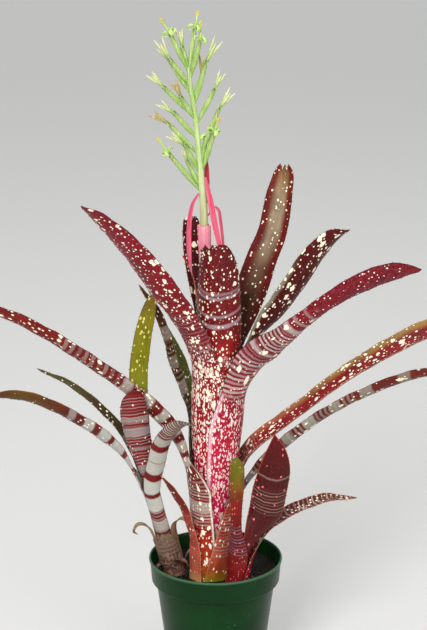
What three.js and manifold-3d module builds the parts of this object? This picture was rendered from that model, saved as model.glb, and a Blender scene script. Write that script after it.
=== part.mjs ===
// A potted sangre billbergia: a bromeliad's flowering shoot with two pups in a nursery pot.
// Millimetres and degrees, +Z up, origin at the centre of the pot's underside.
// An azimuth is counted from the front (-Y) towards +X, and from each shoot's own axis.
import * as THREE from "three";
import { mergeVertices } from "three/addons/utils/BufferGeometryUtils.js";
import Module from "manifold-3d";

const wasm = await Module();
wasm.setup();

// The pot is the common 5-inch nursery size, 130 mm across its rim.
const potHeight = 120;
const rimRadius = 65;
const rimBandHeight = 23;
const rimTaper = 2.5; // how much less the rim band's radius is at its foot than at its lip
const rimStep = 4.5; // how far the rim band stands out of the wall
const footRadius = 46;
const wallThickness = 1.7;
const floorThickness = 2.2;
const potSides = 40;
const drainHoles = 8;
const drainHoleRadius = 5;
const bandBottom = potHeight - rimBandHeight;
const bandFoot = rimRadius - rimTaper;
const wallTop = bandFoot - rimStep;

const soilLevel = 105;
const soilClearance = 0.3;
const soilRipple = 1.2;

const leafThickness = 0.8;
const rootDepth = 8; // how far the shoots stand in the soil
const holeClearance = 0.4;

const mainShoot = { x: -5, y: -8, tilt: 2, holeRadius: 22.9 };
const leftPup = { x: -40, y: -2, tilt: -13, holeRadius: 12.2 };
const rightPup = { x: 19.5, y: -38, tilt: 6, holeRadius: 12.9 };

// Sheaths are nested: the reference layer has the radius given here at each height, and each
// layer further out is larger by the pitch.
const mainNest = {
  reference: 6,
  pitch: 1.45,
  radii: [[-rootDepth, 12.2], [16, 12.6], [40, 13], [80, 16.2], [110, 20.4], [150, 23.8], [200, 24.6]],
};
const leftPupNest = { reference: 0, pitch: 1.35, radii: [[-rootDepth, 10.2], [60, 10.6], [110, 11.4]] };
const rightPupNest = { reference: 0, pitch: 1.35, radii: [[-rootDepth, 12.4], [60, 12.6]] };

// sheath: height of its top, then azimuth and half of the angle it wraps, at its foot and at its top.
// blade rows: azimuth, distance from the axis, height, width, half of the angle that its section bends.
// twist turns the blade about its own length, and tipTwist is what is left of that at the tip.
const mainLeaves = [
  {
    name: "leaf_left_basal",
    color: 0xc8584e,
    layer: -1,
    across: 4,
    sheath: { top: 22, foot: [-44, 22], end: [-46, 20] },
    blade: [
      [-48, 24.5, 40, 12, 22],
      [-50, 31, 62, 11, 24],
      [-50, 39, 80, 10.5, 24],
      [-50, 52, 99, 9, 22],
      [-50, 66, 118, 2.5, 16],
    ],
    twist: -20,
  },
  {
    name: "leaf_right_low",
    color: 0xa4473c,
    layer: 0,
    across: 6,
    sheath: { top: 76, foot: [22, 46], end: [60, 32] },
    blade: [
      [74, 32, 95, 26, 38],
      [78, 44, 113, 24, 42],
      [78, 68, 141, 21, 44],
      [78, 104, 174, 20, 44],
      [78, 143, 200, 20, 44],
      [78, 185, 221, 20, 42],
      [78, 225, 231, 15, 36],
      [78, 258, 230, 3.5, 24],
    ],
    twist: 42,
  },
  {
    name: "leaf_left_long",
    color: 0x8a2f30,
    layer: 1,
    across: 6,
    sheath: { top: 96, foot: [-42, 66], end: [-58, 50] },
    blade: [
      [-80, 31, 118, 36, 42],
      [-86, 40, 138, 33, 44],
      [-88, 58, 162, 28, 46],
      [-88, 88, 188, 25, 46],
      [-88, 125, 214, 24, 44],
      [-88, 164, 239, 22, 42],
      [-88, 202, 258, 19, 38],
      [-88, 238, 266, 13, 34],
      [-88, 265, 264, 3.5, 24],
    ],
    twist: -50,
  },
  {
    name: "leaf_right_long",
    color: 0xa03a30,
    layer: 2,
    across: 6,
    sheath: { top: 92, foot: [90, 70], end: [94, 50] },
    blade: [
      [95, 29.5, 115, 36, 48],
      [95, 38, 130, 32, 48],
      [95, 55, 146, 28, 50],
      [95, 87, 172, 27, 52],
      [95, 120, 199, 29, 52],
      [95, 160, 225, 33, 52],
      [95, 205, 249, 34, 48],
      [95, 240, 262, 25, 42],
      [95, 270, 269, 4, 30],
    ],
    twist: -14,
  },
  {
    name: "leaf_left_green",
    color: 0x6f7a3c,
    layer: 3,
    across: 5,
    sheath: { top: 128, foot: [-142, 62], end: [-146, 34] },
    blade: [
      [-148, 33, 157, 18, 32],
      [-148, 43, 170, 14, 32],
      [-148, 58, 186, 12, 32],
      [-148, 74, 204, 11, 32],
      [-148, 102, 228, 3, 20],
    ],
    twist: 0,
  },
  {
    name: "leaf_left_thin",
    color: 0x7c3a34,
    layer: 4,
    across: 5,
    sheath: { top: 136, foot: [-102, 62], end: [-106, 36] },
    blade: [
      [-108, 27.5, 160, 17, 34],
      [-110, 34.5, 183, 14, 34],
      [-112, 46, 208, 12, 34],
      [-114, 56, 236, 11, 32],
      [-115, 67, 257, 9, 30],
      [-115, 86, 280, 3, 20],
    ],
    twist: 25,
  },
  {
    name: "leaf_right_arching",
    color: 0x8d2026,
    layer: 5,
    across: 6,
    sheath: { top: 152, foot: [45, 74], end: [50, 66] },
    blade: [
      [52, 29, 190, 46, 58],
      [52, 37.5, 215, 43, 54],
      [52, 50, 235, 37, 50],
      [52, 70, 254, 26, 46],
      [52, 97, 280, 19, 44],
      [52, 126, 305, 19, 42],
      [52, 158, 327, 22, 40],
      [52, 190, 344, 19, 34],
      [52, 216, 352, 5, 26],
    ],
    twist: 40,
    tipTwist: 62,
  },
  {
    name: "leaf_left_spotted",
    color: 0x8f1c30,
    layer: 6,
    across: 6,
    sheath: { top: 180, foot: [-30, 72], end: [-40, 66] },
    blade: [
      [-45, 27, 218, 45, 54],
      [-50, 40, 252, 40, 46],
      [-52, 65, 288, 38, 42],
      [-52, 95, 327, 34, 38],
      [-52, 127, 361, 26, 34],
      [-52, 148, 380, 15, 30],
      [-52, 160, 389, 3.5, 24],
    ],
    twist: -24,
  },
  {
    name: "bract_olive",
    color: 0xb07a3c,
    layer: 9,
    across: 4,
    sheath: { top: 205, foot: [-64, 20], end: [-66, 18] },
    blade: [
      [-70, 20.8, 236, 11, 24],
      [-77, 22.2, 268, 10, 24],
      [-84, 27, 300, 8, 22],
      [-86, 37, 321, 1.5, 14],
    ],
    twist: 0,
  },
  {
    name: "leaf_right_spotted",
    color: 0x7d1f28,
    layer: 7,
    across: 6,
    sheath: { top: 194, foot: [75, 70], end: [77, 54] },
    blade: [
      [78, 29, 229, 28, 47],
      [80, 40, 248, 31, 52],
      [82, 51, 263, 35, 56],
      [82, 64, 281, 38, 58],
      [82, 78, 305, 39, 52],
      [82, 91, 329, 36, 46],
      [82, 105, 347, 25, 38],
      [82, 117, 355, 4, 28],
    ],
    twist: 40,
  },
  {
    name: "leaf_front_centre",
    color: 0x7a1722,
    layer: 8,
    across: 6,
    sheath: { top: 190, foot: [0, 70], end: [2, 70] },
    blade: [
      [1, 24, 225, 52, 70],
      [-3, 27, 258, 55, 74],
      [-8, 30, 288, 54, 74],
      [-11, 32, 315, 47, 68],
      [-17, 33.5, 333, 34, 58],
      [-21, 34.5, 341, 25, 48],
    ],
    twist: 0,
  },
  {
    name: "leaf_back_right_tall",
    color: 0x6b5a48,
    layer: 9,
    across: 6,
    sheath: { top: 190, foot: [130, 70], end: [144, 54] },
    blade: [
      [148, 26.5, 224, 27, 44],
      [144, 37, 252, 32, 42],
      [140, 47.5, 280, 34, 40],
      [138, 59, 308, 32, 38],
      [136, 70, 333, 30, 34],
      [135, 75, 364, 28, 32],
      [135, 80, 388, 21, 30],
      [135, 80, 399, 13, 24],
    ],
    twist: -25,
  },
  {
    name: "leaf_back_dark",
    color: 0x5c1a1c,
    layer: 10,
    across: 5,
    sheath: { top: 205, foot: [-130, 58], end: [-134, 54] },
    blade: [
      [-138, 22, 245, 29, 48],
      [-136, 30, 280, 24, 44],
      [-135, 37, 310, 22, 40],
      [-135, 42, 335, 20, 36],
      [-135, 44, 350, 15, 30],
    ],
    twist: 30,
  },
];

const leftPupLeaves = [
  {
    name: "left_pup_dry_sheath_left",
    color: 0x9a8468,
    layer: -1,
    across: 4,
    sheath: { top: 22, foot: [-66, 44], end: [-66, 38] },
    blade: [
      [-66, 12.4, 40, 12, 28],
      [-70, 16, 53, 10, 34],
      [-74, 22, 57, 8, 34],
    ],
    twist: 0,
  },
  {
    name: "left_pup_dry_sheath_right",
    color: 0x8a6a50,
    layer: -1,
    across: 4,
    sheath: { top: 22, foot: [54, 44], end: [52, 36] },
    blade: [
      [52, 12.4, 38, 11, 26],
      [55, 16.5, 52, 9, 34],
      [62, 22.5, 56, 7, 34],
    ],
    twist: 0,
  },
  {
    name: "left_pup_leaf_curled",
    color: 0x9b6a60,
    layer: 0,
    across: 5,
    sheath: { top: 68, foot: [-8, 60], end: [-10, 46] },
    blade: [
      [-5, 12.5, 90, 17, 42],
      [14, 15, 104, 19, 42],
      [31, 20, 118, 19, 40],
      [40, 30, 136, 19, 38],
      [45, 44, 151, 18, 36],
      [48, 60, 160, 16, 34],
      [50, 77, 160, 6, 30],
    ],
    twist: 20,
    tipTwist: 45,
  },
  {
    name: "left_pup_leaf_arching",
    color: 0x84404a,
    layer: 1,
    across: 5,
    sheath: { top: 70, foot: [-84, 62], end: [-87, 48] },
    blade: [
      [-94, 13.2, 98, 17, 40],
      [-94, 21, 124, 18, 40],
      [-92, 33, 147, 18, 40],
      [-91, 57, 174, 18, 38],
      [-90, 87, 200, 17, 34],
      [-90, 112, 212, 14, 28],
      [-90, 131, 214, 4, 20],
    ],
    twist: -62,
    tipTwist: -56,
  },
  {
    name: "left_pup_leaf_dark",
    color: 0x4e3a28,
    layer: 2,
    across: 4,
    sheath: { top: 84, foot: [-112, 60], end: [-114, 48] },
    blade: [
      [-115, 12, 118, 14, 42],
      [-115, 19, 148, 12, 40],
      [-115, 36, 175, 10, 38],
      [-115, 62, 201, 8, 34],
      [-115, 95, 220, 2.5, 18],
    ],
    twist: 15,
  },
  {
    name: "left_pup_leaf_front",
    color: 0x94343c,
    layer: 3,
    across: 5,
    sheath: { top: 90, foot: [-8, 62], end: [-8, 58] },
    blade: [
      [-8, 11, 116, 20, 54],
      [-6, 14, 135, 26, 52],
      [0, 19, 157, 29, 50],
      [8, 23, 176, 29, 48],
      [15, 26, 190, 23, 44],
      [19, 27.5, 198, 11, 36],
    ],
    twist: 0,
  },
  {
    name: "left_pup_leaf_olive",
    color: 0x8f8c2a,
    layer: 4,
    across: 5,
    sheath: { top: 112, foot: [150, 62], end: [150, 58] },
    blade: [
      [150, 10.5, 146, 18, 48],
      [148, 14, 172, 20, 44],
      [136, 20, 205, 20, 40],
      [119, 30, 237, 19, 38],
      [113, 40, 260, 15, 36],
      [111, 49, 276, 6, 26],
    ],
    twist: -10,
    tipTwist: -60,
  },
];

const rightPupLeaves = [
  {
    name: "right_pup_leaf_outer",
    color: 0x7a3226,
    layer: 0,
    across: 5,
    sheath: { top: 22, foot: [84, 60], end: [88, 46] },
    blade: [
      [98, 16.5, 42, 15, 38],
      [110, 26, 58, 15, 38],
      [114, 42, 70, 15, 36],
      [115, 65, 79, 15, 34],
      [115, 89, 84, 13, 32],
      [115, 122, 82, 3.5, 20],
    ],
    twist: -18,
  },
  {
    name: "right_pup_leaf_front",
    color: 0x86312a,
    layer: 1,
    across: 5,
    sheath: { top: 26, foot: [-14, 68], end: [-16, 62] },
    blade: [
      [-20, 12.8, 44, 20, 50],
      [-28, 14.4, 62, 12, 44],
      [-32, 16.5, 82, 12, 44],
      [-37, 19.5, 110, 16, 44],
      [-39, 21.5, 128, 15, 42],
      [-40, 22.5, 139, 8, 36],
    ],
    twist: -30,
  },
  {
    name: "right_pup_leaf_broad",
    color: 0x5e1c1c,
    layer: 2,
    across: 5,
    sheath: { top: 22, foot: [50, 62], end: [54, 60] },
    blade: [
      [58, 11, 40, 20, 54],
      [66, 15, 57, 26, 50],
      [75, 20, 78, 35, 48],
      [80, 22.5, 100, 37, 45],
      [80, 24.5, 122, 33, 42],
      [77, 23.5, 141, 22, 38],
      [72, 20, 161, 3.5, 28],
    ],
    twist: 74,
  },
];

// The flower stem, in the main shoot's own frame: x, height, radius.
const stemRows = [
  [0, -rootDepth, 5.2],
  [0, 60, 5.2],
  [-3, 150, 5],
  [-10, 250, 4.5],
  [-17, 333, 3.8],
  [-19.5, 374, 3.5],
  [-23, 402, 3],
  [-29, 449, 2.5],
  [-34, 476, 2.1],
  [-37, 497, 1.8],
];

// Florets: height on the stem, azimuth, then reach and height of the calyx's mouth and of the tip.
const florets = [
  { from: 494, azimuth: 57, mouth: [5, 533], tip: [8, 548], open: true },
  { from: 485, azimuth: 70, mouth: [9, 523], tip: [9, 539], open: true },
  { from: 492, azimuth: -75, mouth: [19, 528], tip: [28, 541], open: true },
  { from: 493, azimuth: -121, mouth: [8, 514], tip: [12, 532], open: false },
  { from: 480, azimuth: -73, mouth: [20, 504], tip: [33, 524], open: false },
  { from: 471, azimuth: -100, mouth: [23, 504], tip: [32, 512], open: false },
  { from: 460, azimuth: 73, mouth: [10, 502], tip: [21, 526], open: false },
  { from: 466, azimuth: 113, mouth: [8, 488], tip: [10, 508], open: false },
  { from: 451, azimuth: -91, mouth: [30, 478], tip: [43, 491], open: false },
  { from: 448, azimuth: -63, mouth: [16, 471], tip: [24, 487], open: false },
  { from: 444, azimuth: 94, mouth: [16, 478], tip: [23, 494], open: false },
  { from: 413, azimuth: 103, mouth: [17, 460], tip: [29, 477], open: false },
  { from: 431, azimuth: -80, mouth: [23, 456], tip: [38, 465], open: false },
  { from: 416, azimuth: -96, mouth: [29, 444], tip: [45, 454], open: false },
  { from: 397, azimuth: -70, mouth: [17, 427], tip: [33, 438], open: false },
  { from: 380, azimuth: -85, mouth: [33, 418], tip: [43, 431], open: true },
  { from: 382, azimuth: -105, mouth: [16, 410], tip: [20, 422], open: false },
  { from: 398, azimuth: 66, mouth: [12, 439], tip: [16, 452], open: true },
  { from: 402, azimuth: 126, mouth: [5, 432], tip: [8, 441], open: true },
];
const floretSides = 5;
const petalCoilRadius = 3.4;

// Bracts hang from the stem: x, y, height, width of each row, then the way its hollow side faces.
const bracts = [
  {
    name: "bract_pink_left",
    color: 0xe8436a,
    azimuth: 125,
    rows: [
      [-24.1, -2.6, 381, 3],
      [-29.5, -5, 371, 5.5],
      [-32.5, -7, 350, 7.5],
      [-31.5, -8.5, 325, 7.5],
      [-27.5, -9, 304, 1.5],
    ],
  },
  {
    name: "bract_pink_right",
    color: 0xef5a7d,
    azimuth: -110,
    rows: [
      [-17.8, -1.5, 393, 5],
      [-12.6, -4, 374, 5.5],
      [-7.5, -4.5, 352, 5.5],
      [-2.5, -5, 331, 5],
      [0.5, -5, 318, 2],
    ],
  },
  {
    name: "bract_pink_curled",
    color: 0xe0405f,
    azimuth: -120,
    rows: [
      [-14.8, 2.4, 359, 3],
      [-10, 4.2, 367, 4],
      [-5.5, 4.6, 365, 5],
      [-2, 4.6, 352, 5.5],
      [1, 4.4, 333, 4.5],
      [2, 4, 320, 2],
    ],
  },
  {
    name: "bract_dark_back",
    color: 0x7a1a22,
    azimuth: 180,
    rows: [
      [-19, 4.8, 366, 4],
      [-18, 5.6, 382, 5],
      [-18.5, 6.8, 402, 4.5],
      [-19.5, 7.4, 417, 1.5],
    ],
  },
];
const bractBend = 22;
const bractThickness = 0.8;

const sheathRing = { bottom: 300, top: 351, inner: 4.6, outer: 6.5 };

const degrees = THREE.MathUtils.degToRad;
const polar = (azimuth, radius, height) =>
  new THREE.Vector3(radius * Math.sin(degrees(azimuth)), -radius * Math.cos(degrees(azimuth)), height);
const sideways = (azimuth) => new THREE.Vector3(Math.cos(degrees(azimuth)), Math.sin(degrees(azimuth)), 0);

function material(color, roughness = 0.5) {
  return new THREE.MeshStandardMaterial({ color, roughness, metalness: 0 });
}

function geometryFrom(vertices, triangles) {
  const geometry = new THREE.BufferGeometry();
  const flat = vertices.flatMap((v) => [v.x, v.y, v.z]);
  geometry.setAttribute("position", new THREE.Float32BufferAttribute(flat, 3));
  geometry.setIndex(triangles);
  return geometry;
}

function toSolid(geometry) {
  const bare = geometry.clone();
  bare.deleteAttribute("normal");
  bare.deleteAttribute("uv");
  const merged = mergeVertices(bare, 1e-4);
  return new wasm.Manifold(
    new wasm.Mesh({
      numProp: 3,
      vertProperties: new Float32Array(merged.attributes.position.array),
      triVerts: new Uint32Array(merged.index.array),
    }),
  );
}

function fromSolid(solid) {
  const mesh = solid.getMesh();
  const geometry = new THREE.BufferGeometry();
  geometry.setAttribute("position", new THREE.BufferAttribute(mesh.vertProperties, 3));
  geometry.setIndex(new THREE.BufferAttribute(mesh.triVerts, 1));
  return geometry;
}

const unite = (geometries) => fromSolid(geometries.map(toSolid).reduce((whole, piece) => whole.add(piece)));

// A value between rows, on a smooth curve through all of them.
function smoothValue(values, u) {
  const place = u * (values.length - 1);
  const index = Math.min(Math.floor(place), values.length - 2);
  const at = (i) => values[THREE.MathUtils.clamp(i, 0, values.length - 1)];
  const [a, b, c, d] = [at(index - 1), at(index), at(index + 1), at(index + 2)];
  const t = place - index;
  const bend = (2 * a - 5 * b + 4 * c - d) * t * t + (3 * b - a - 3 * c + d) * t * t * t;
  return 0.5 * (2 * b + (c - a) * t + bend);
}

// A closed strip from two grids of points that are split into triangles alike.
function stripSolid(outerRows, innerRows) {
  const columns = outerRows[0].length;
  const last = outerRows.length - 1;
  const inner = outerRows.length * columns;
  const at = (i, j) => i * columns + j;
  const triangles = [];
  const quad = (a, b, c, d) => triangles.push(a, b, c, a, c, d);
  for (let i = 0; i < last; i++) {
    for (let j = 0; j < columns - 1; j++) {
      quad(at(i, j), at(i, j + 1), at(i + 1, j + 1), at(i + 1, j));
      triangles.push(inner + at(i, j), inner + at(i + 1, j + 1), inner + at(i, j + 1));
      triangles.push(inner + at(i, j), inner + at(i + 1, j), inner + at(i + 1, j + 1));
    }
    const right = columns - 1;
    quad(at(i, right), inner + at(i, right), inner + at(i + 1, right), at(i + 1, right));
    quad(inner + at(i, 0), at(i, 0), at(i + 1, 0), inner + at(i + 1, 0));
  }
  for (let j = 0; j < columns - 1; j++) {
    quad(inner + at(0, j), inner + at(0, j + 1), at(0, j + 1), at(0, j));
    quad(at(last, j), at(last, j + 1), inner + at(last, j + 1), inner + at(last, j));
  }
  return geometryFrom([...outerRows.flat(), ...innerRows.flat()], triangles);
}

// A sheath's outer radius at a height, straight between the heights in the nest's list.
function sheathRadius({ reference, pitch, radii }, layer, height) {
  const above = radii.findIndex((row) => row[0] >= height);
  const index = above < 0 ? radii.length - 1 : Math.max(above, 1);
  const [low, high] = [radii[index - 1], radii[index]];
  const share = THREE.MathUtils.clamp((height - low[0]) / (high[0] - low[0]), 0, 1);
  return THREE.MathUtils.lerp(low[1], high[1], share) + (reference - layer) * pitch;
}

// Sheath rows wrap the shoot's axis, at the nest's own heights and at the sheath's top.
function sheathRows({ sheath, layer }, nest) {
  const heights = nest.radii.map((row) => row[0]).filter((height) => height < sheath.top - 6);
  const blend = (key, share) => THREE.MathUtils.lerp(sheath.foot[key], sheath.end[key], share);
  return [...heights, sheath.top].map((height) => {
    const share = (height + rootDepth) / (sheath.top + rootDepth);
    const radius = sheathRadius(nest, layer, height);
    const [azimuth, halfAngle] = [blend(0, share), blend(1, share)];
    const width = 2 * degrees(halfAngle) * radius;
    return { point: polar(azimuth, radius, height), azimuth, halfAngle, width, twist: 0, open: 0 };
  });
}

// Blade rows have a bend of their own, and take up the twist over the first two of them.
function bladeRows({ blade, twist, tipTwist = twist }) {
  return blade.map(([azimuth, radius, height, width, halfAngle], i) => {
    const turn = THREE.MathUtils.lerp(twist, tipTwist, i / (blade.length - 1));
    const point = polar(azimuth, radius, height);
    return { point, azimuth, halfAngle, width, twist: turn * Math.min(i / 2, 1), open: 1 };
  });
}

// One cross-section's points at a depth under its outer face, from left to right.
function sectionPoints(row, tangent, across, depth) {
  const level = sideways(row.azimuth);
  level.addScaledVector(tangent, -level.dot(tangent)).normalize();
  const side = level.applyAxisAngle(tangent, -degrees(row.twist));
  const outward = new THREE.Vector3().crossVectors(side, tangent);
  const bend = degrees(row.halfAngle);
  const bendRadius = row.width / (2 * bend);
  const axisRadius = Math.hypot(row.point.x, row.point.y) - depth;
  const facing = THREE.MathUtils.radToDeg(Math.atan2(row.point.x, -row.point.y));
  return Array.from({ length: across + 1 }, (_, j) => {
    const angle = bend * ((2 * j) / across - 1);
    const wrapped = polar(facing + THREE.MathUtils.radToDeg(angle), axisRadius, row.point.z);
    const free = row.point.clone();
    free.addScaledVector(side, (bendRadius - depth) * Math.sin(angle));
    free.addScaledVector(outward, (bendRadius - depth) * Math.cos(angle) - bendRadius);
    return wrapped.lerp(free, row.open);
  });
}

function bladeSolid(rows, across, thickness) {
  const spine = new THREE.CatmullRomCurve3(rows.map((row) => row.point), false, "centripetal");
  const at = (key, u) => smoothValue(rows.map((row) => row[key]), u);
  const last = rows.length - 1;
  // One step between sheath rows, two from there on.
  const places = rows.flatMap((row, i) => (i < last && rows[i + 1].open ? [i, i + 0.5] : [i]));
  const sections = places.map((place) => {
    const u = place / last;
    const row = {
      point: spine.getPoint(u),
      azimuth: at("azimuth", u),
      halfAngle: at("halfAngle", u),
      width: at("width", u),
      twist: at("twist", u),
      open: THREE.MathUtils.clamp(at("open", u), 0, 1),
    };
    const tangent = spine.getTangent(u);
    return [sectionPoints(row, tangent, across, 0), sectionPoints(row, tangent, across, thickness)];
  });
  return stripSolid(sections.map(([outer]) => outer), sections.map(([, inner]) => inner));
}

// A round strand along a curve, thicker or thinner from point to point.
function strand(points, radii, sides, steps) {
  const curve = new THREE.CatmullRomCurve3(points, false, "centripetal");
  const frames = curve.computeFrenetFrames(steps, false);
  const vertices = [];
  for (let i = 0; i <= steps; i++) {
    const place = curve.getUtoTmapping(i / steps);
    const centre = curve.getPoint(place);
    const radius = smoothValue(radii, place);
    for (let j = 0; j < sides; j++) {
      const angle = (2 * Math.PI * j) / sides;
      const corner = centre.clone().addScaledVector(frames.normals[i], radius * Math.cos(angle));
      vertices.push(corner.addScaledVector(frames.binormals[i], radius * Math.sin(angle)));
    }
  }
  const triangles = [];
  for (let i = 0; i < steps; i++) {
    for (let j = 0; j < sides; j++) {
      const next = (j + 1) % sides;
      const [a, b] = [i * sides + j, i * sides + next];
      triangles.push(a, b, b + sides, a, b + sides, a + sides);
    }
  }
  for (let j = 1; j < sides - 1; j++) {
    triangles.push(0, j + 1, j);
    triangles.push(steps * sides, steps * sides + j, steps * sides + j + 1);
  }
  return geometryFrom(vertices, triangles);
}

const stemPoint = (height) => {
  const index = Math.max(stemRows.findIndex((row) => row[1] >= height), 1);
  const [low, high] = [stemRows[index - 1], stemRows[index]];
  const share = (height - low[1]) / (high[1] - low[1]);
  return new THREE.Vector3(THREE.MathUtils.lerp(low[0], high[0], share), 0, height);
};

// Petals roll back in small coils on both sides of an open flower's mouth.
function petalCoils(mouth, azimuth) {
  return [-1, 1].map((hand) => {
    const side = sideways(azimuth).multiplyScalar(hand);
    const points = [0, 64, 128, 192, 256].map((turn) => {
      const angle = degrees(turn);
      const point = mouth.clone().addScaledVector(side, petalCoilRadius * (1 - Math.cos(angle)));
      point.z += petalCoilRadius * Math.sin(angle);
      return point;
    });
    return strand(points, [1.3, 1.2, 1], 4, 5);
  });
}

function floretPieces({ from, azimuth, mouth, tip, open }) {
  const base = stemPoint(from);
  const place = ([reach, height]) => polar(azimuth, reach, height).add(new THREE.Vector3(base.x, 0, 0));
  const [mouthPoint, tipPoint] = [place(mouth), place(tip)];
  const swell = base.clone().lerp(mouthPoint, 0.55);
  const calyx = strand([base, swell, mouthPoint], [1.8, 2.6, 2.2], floretSides, 2);
  const sunk = mouthPoint.clone().lerp(swell, 0.25);
  const tipRadii = open ? [1.5, 1, 1.3] : [1.9, 1.8, 1.2];
  const petals = strand([sunk, mouthPoint.clone().lerp(tipPoint, 0.4), tipPoint], tipRadii, floretSides, 2);
  return open ? [calyx, petals, ...petalCoils(mouthPoint, azimuth)] : [calyx, petals];
}

function flowerStem() {
  const points = stemRows.map(([x, height]) => new THREE.Vector3(x, 0, height));
  const stem = strand(points, stemRows.map((row) => row[2]), 10, 14);
  const geometry = unite([stem, ...florets.flatMap(floretPieces)]);
  return named("flower_stem", geometry, 0x9cc063, 0.45);
}

function spikeSheath() {
  const { bottom, top, inner, outer } = sheathRing;
  const rings = [stemPoint(bottom), stemPoint(top)];
  const wall = strand(rings, [outer, outer], 12, 2);
  const lift = rings[1].clone().sub(rings[0]).setLength(2);
  const bore = strand([rings[0].clone().sub(lift), rings[1].clone().add(lift)], [inner, inner], 12, 2);
  return named("bract_pink_sheath", fromSolid(toSolid(wall).subtract(toSolid(bore))), 0xf0708c, 0.5);
}

function bract({ name, color, azimuth, rows }) {
  const full = rows.map(([x, y, height, width]) => ({
    point: new THREE.Vector3(x, y, height),
    azimuth,
    halfAngle: bractBend,
    width,
    twist: 0,
    open: 1,
  }));
  return named(name, bladeSolid(full, 2, bractThickness), color, 0.5);
}

function named(name, geometry, color, roughness) {
  const mesh = new THREE.Mesh(geometry, material(color, roughness));
  mesh.name = name;
  return mesh;
}

function shootGroup({ x, y, tilt }, meshes) {
  const group = new THREE.Group();
  group.position.set(x, y, soilLevel);
  group.rotation.y = degrees(tilt);
  group.add(...meshes);
  return group;
}

const leafMeshes = (leaves, nest) =>
  leaves.map((leaf) => {
    const rows = [...sheathRows(leaf, nest), ...bladeRows(leaf)];
    return named(leaf.name, bladeSolid(rows, leaf.across, leafThickness), leaf.color, 0.45);
  });

// A pup's short stem, hidden in its leaves.
function pupStem(name, radius, height) {
  const points = [new THREE.Vector3(0, 0, -rootDepth), new THREE.Vector3(0, 0, height)];
  return named(name, strand(points, [radius, radius * 0.8], 10, 2), 0xb9a76a, 0.7);
}

function revolve(profile, sides) {
  const geometry = new THREE.LatheGeometry(profile.map(([r, z]) => new THREE.Vector2(r, z)), sides);
  return geometry.rotateX(Math.PI / 2);
}

function pot() {
  const outer = [
    [0, 0],
    [footRadius - 2, 0],
    [footRadius, 2],
    [wallTop, bandBottom - 1],
    [wallTop + 0.6, bandBottom],
  ];
  const band = [
    [bandFoot, bandBottom],
    [rimRadius - 1, potHeight - 3],
    [rimRadius, potHeight - 2.4],
    [rimRadius, potHeight - 0.6],
  ];
  const inner = [
    [rimRadius - 0.6, potHeight],
    [rimRadius - 1.6, potHeight],
    [rimRadius - 2.6, potHeight - 3],
    [bandFoot - wallThickness, bandBottom + 2],
    [wallTop - wallThickness, bandBottom - 3],
  ];
  const floor = [
    [footRadius - wallThickness, floorThickness],
    [0, floorThickness],
  ];
  const shell = toSolid(revolve([...outer, ...band, ...inner, ...floor], potSides));
  const cutter = new THREE.CylinderGeometry(drainHoleRadius, drainHoleRadius, 12, 12).rotateX(Math.PI / 2);
  const cut = Array.from({ length: drainHoles }, (_, i) => {
    const placed = cutter.clone().translate(0, -footRadius, drainHoleRadius * 0.4);
    return toSolid(placed.rotateZ((2 * Math.PI * (i + 0.5)) / drainHoles));
  });
  return named("pot", fromSolid(cut.reduce((body, hole) => body.subtract(hole), shell)), 0x1d5a34, 0.4);
}

// The soil's top is slightly uneven.
function soilHeight(radius, angle) {
  const broad = Math.sin(3 * angle + 0.6);
  const fine = Math.sin(5 * angle + 0.09 * radius) + Math.cos(0.16 * radius + angle);
  return soilLevel + (soilRipple * (broad + fine)) / 3;
}

function soilRing(radius, height) {
  return Array.from({ length: potSides }, (_, j) => {
    const angle = (2 * Math.PI * j) / potSides;
    const z = height ?? soilHeight(radius, angle);
    return new THREE.Vector3(radius * Math.cos(angle), radius * Math.sin(angle), z);
  });
}

function soilRings() {
  const slack = wallThickness + soilClearance;
  const edge = bandFoot - slack;
  return [
    soilRing(footRadius - slack, floorThickness + soilClearance),
    soilRing(wallTop - slack, bandBottom - 3.4),
    soilRing(edge - 0.6, bandBottom + 2),
    ...[edge, 48, 34, 18].map((radius) => soilRing(radius)),
  ];
}

function soil() {
  const rings = soilRings();
  const bottom = new THREE.Vector3(0, 0, floorThickness + soilClearance);
  const top = new THREE.Vector3(0, 0, soilLevel);
  const topRing = (rings.length - 1) * potSides;
  const triangles = [];
  for (let j = 0; j < potSides; j++) {
    const next = (j + 1) % potSides;
    for (let i = 0; i < rings.length - 1; i++) {
      const [a, b] = [i * potSides + j, i * potSides + next];
      triangles.push(a, b, b + potSides, a, b + potSides, a + potSides);
    }
    const bottomCentre = rings.length * potSides;
    triangles.push(bottomCentre, next, j, bottomCentre + 1, topRing + j, topRing + next);
  }
  const block = toSolid(geometryFrom([...rings.flat(), bottom, top], triangles));
  const holes = [mainShoot, leftPup, rightPup].map(shootHole);
  return named("soil", fromSolid(holes.reduce((body, hole) => body.subtract(hole), block)), 0x2b211a, 0.95);
}

// A plain hole that a shoot stands in, leaning as the shoot does.
function shootHole({ x, y, tilt, holeRadius }) {
  const depth = rootDepth + holeClearance;
  const above = 20;
  const hole = new THREE.CylinderGeometry(holeRadius, holeRadius, depth + above, 36).rotateX(Math.PI / 2);
  hole.translate(0, 0, (above - depth) / 2).rotateY(degrees(tilt)).translate(x, y, soilLevel);
  return toSolid(hole);
}

const plant = new THREE.Group();
plant.add(pot(), soil());
plant.add(
  shootGroup(mainShoot, [
    flowerStem(),
    spikeSheath(),
    ...bracts.map(bract),
    ...leafMeshes(mainLeaves, mainNest),
  ]),
);
plant.add(
  shootGroup(leftPup, [
    pupStem("left_pup_stem", 3.7, 30),
    ...leafMeshes(leftPupLeaves, leftPupNest),
  ]),
);
plant.add(
  shootGroup(rightPup, [
    pupStem("right_pup_stem", 8.4, 16),
    ...leafMeshes(rightPupLeaves, rightPupNest),
  ]),
);

export default plant;
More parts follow.
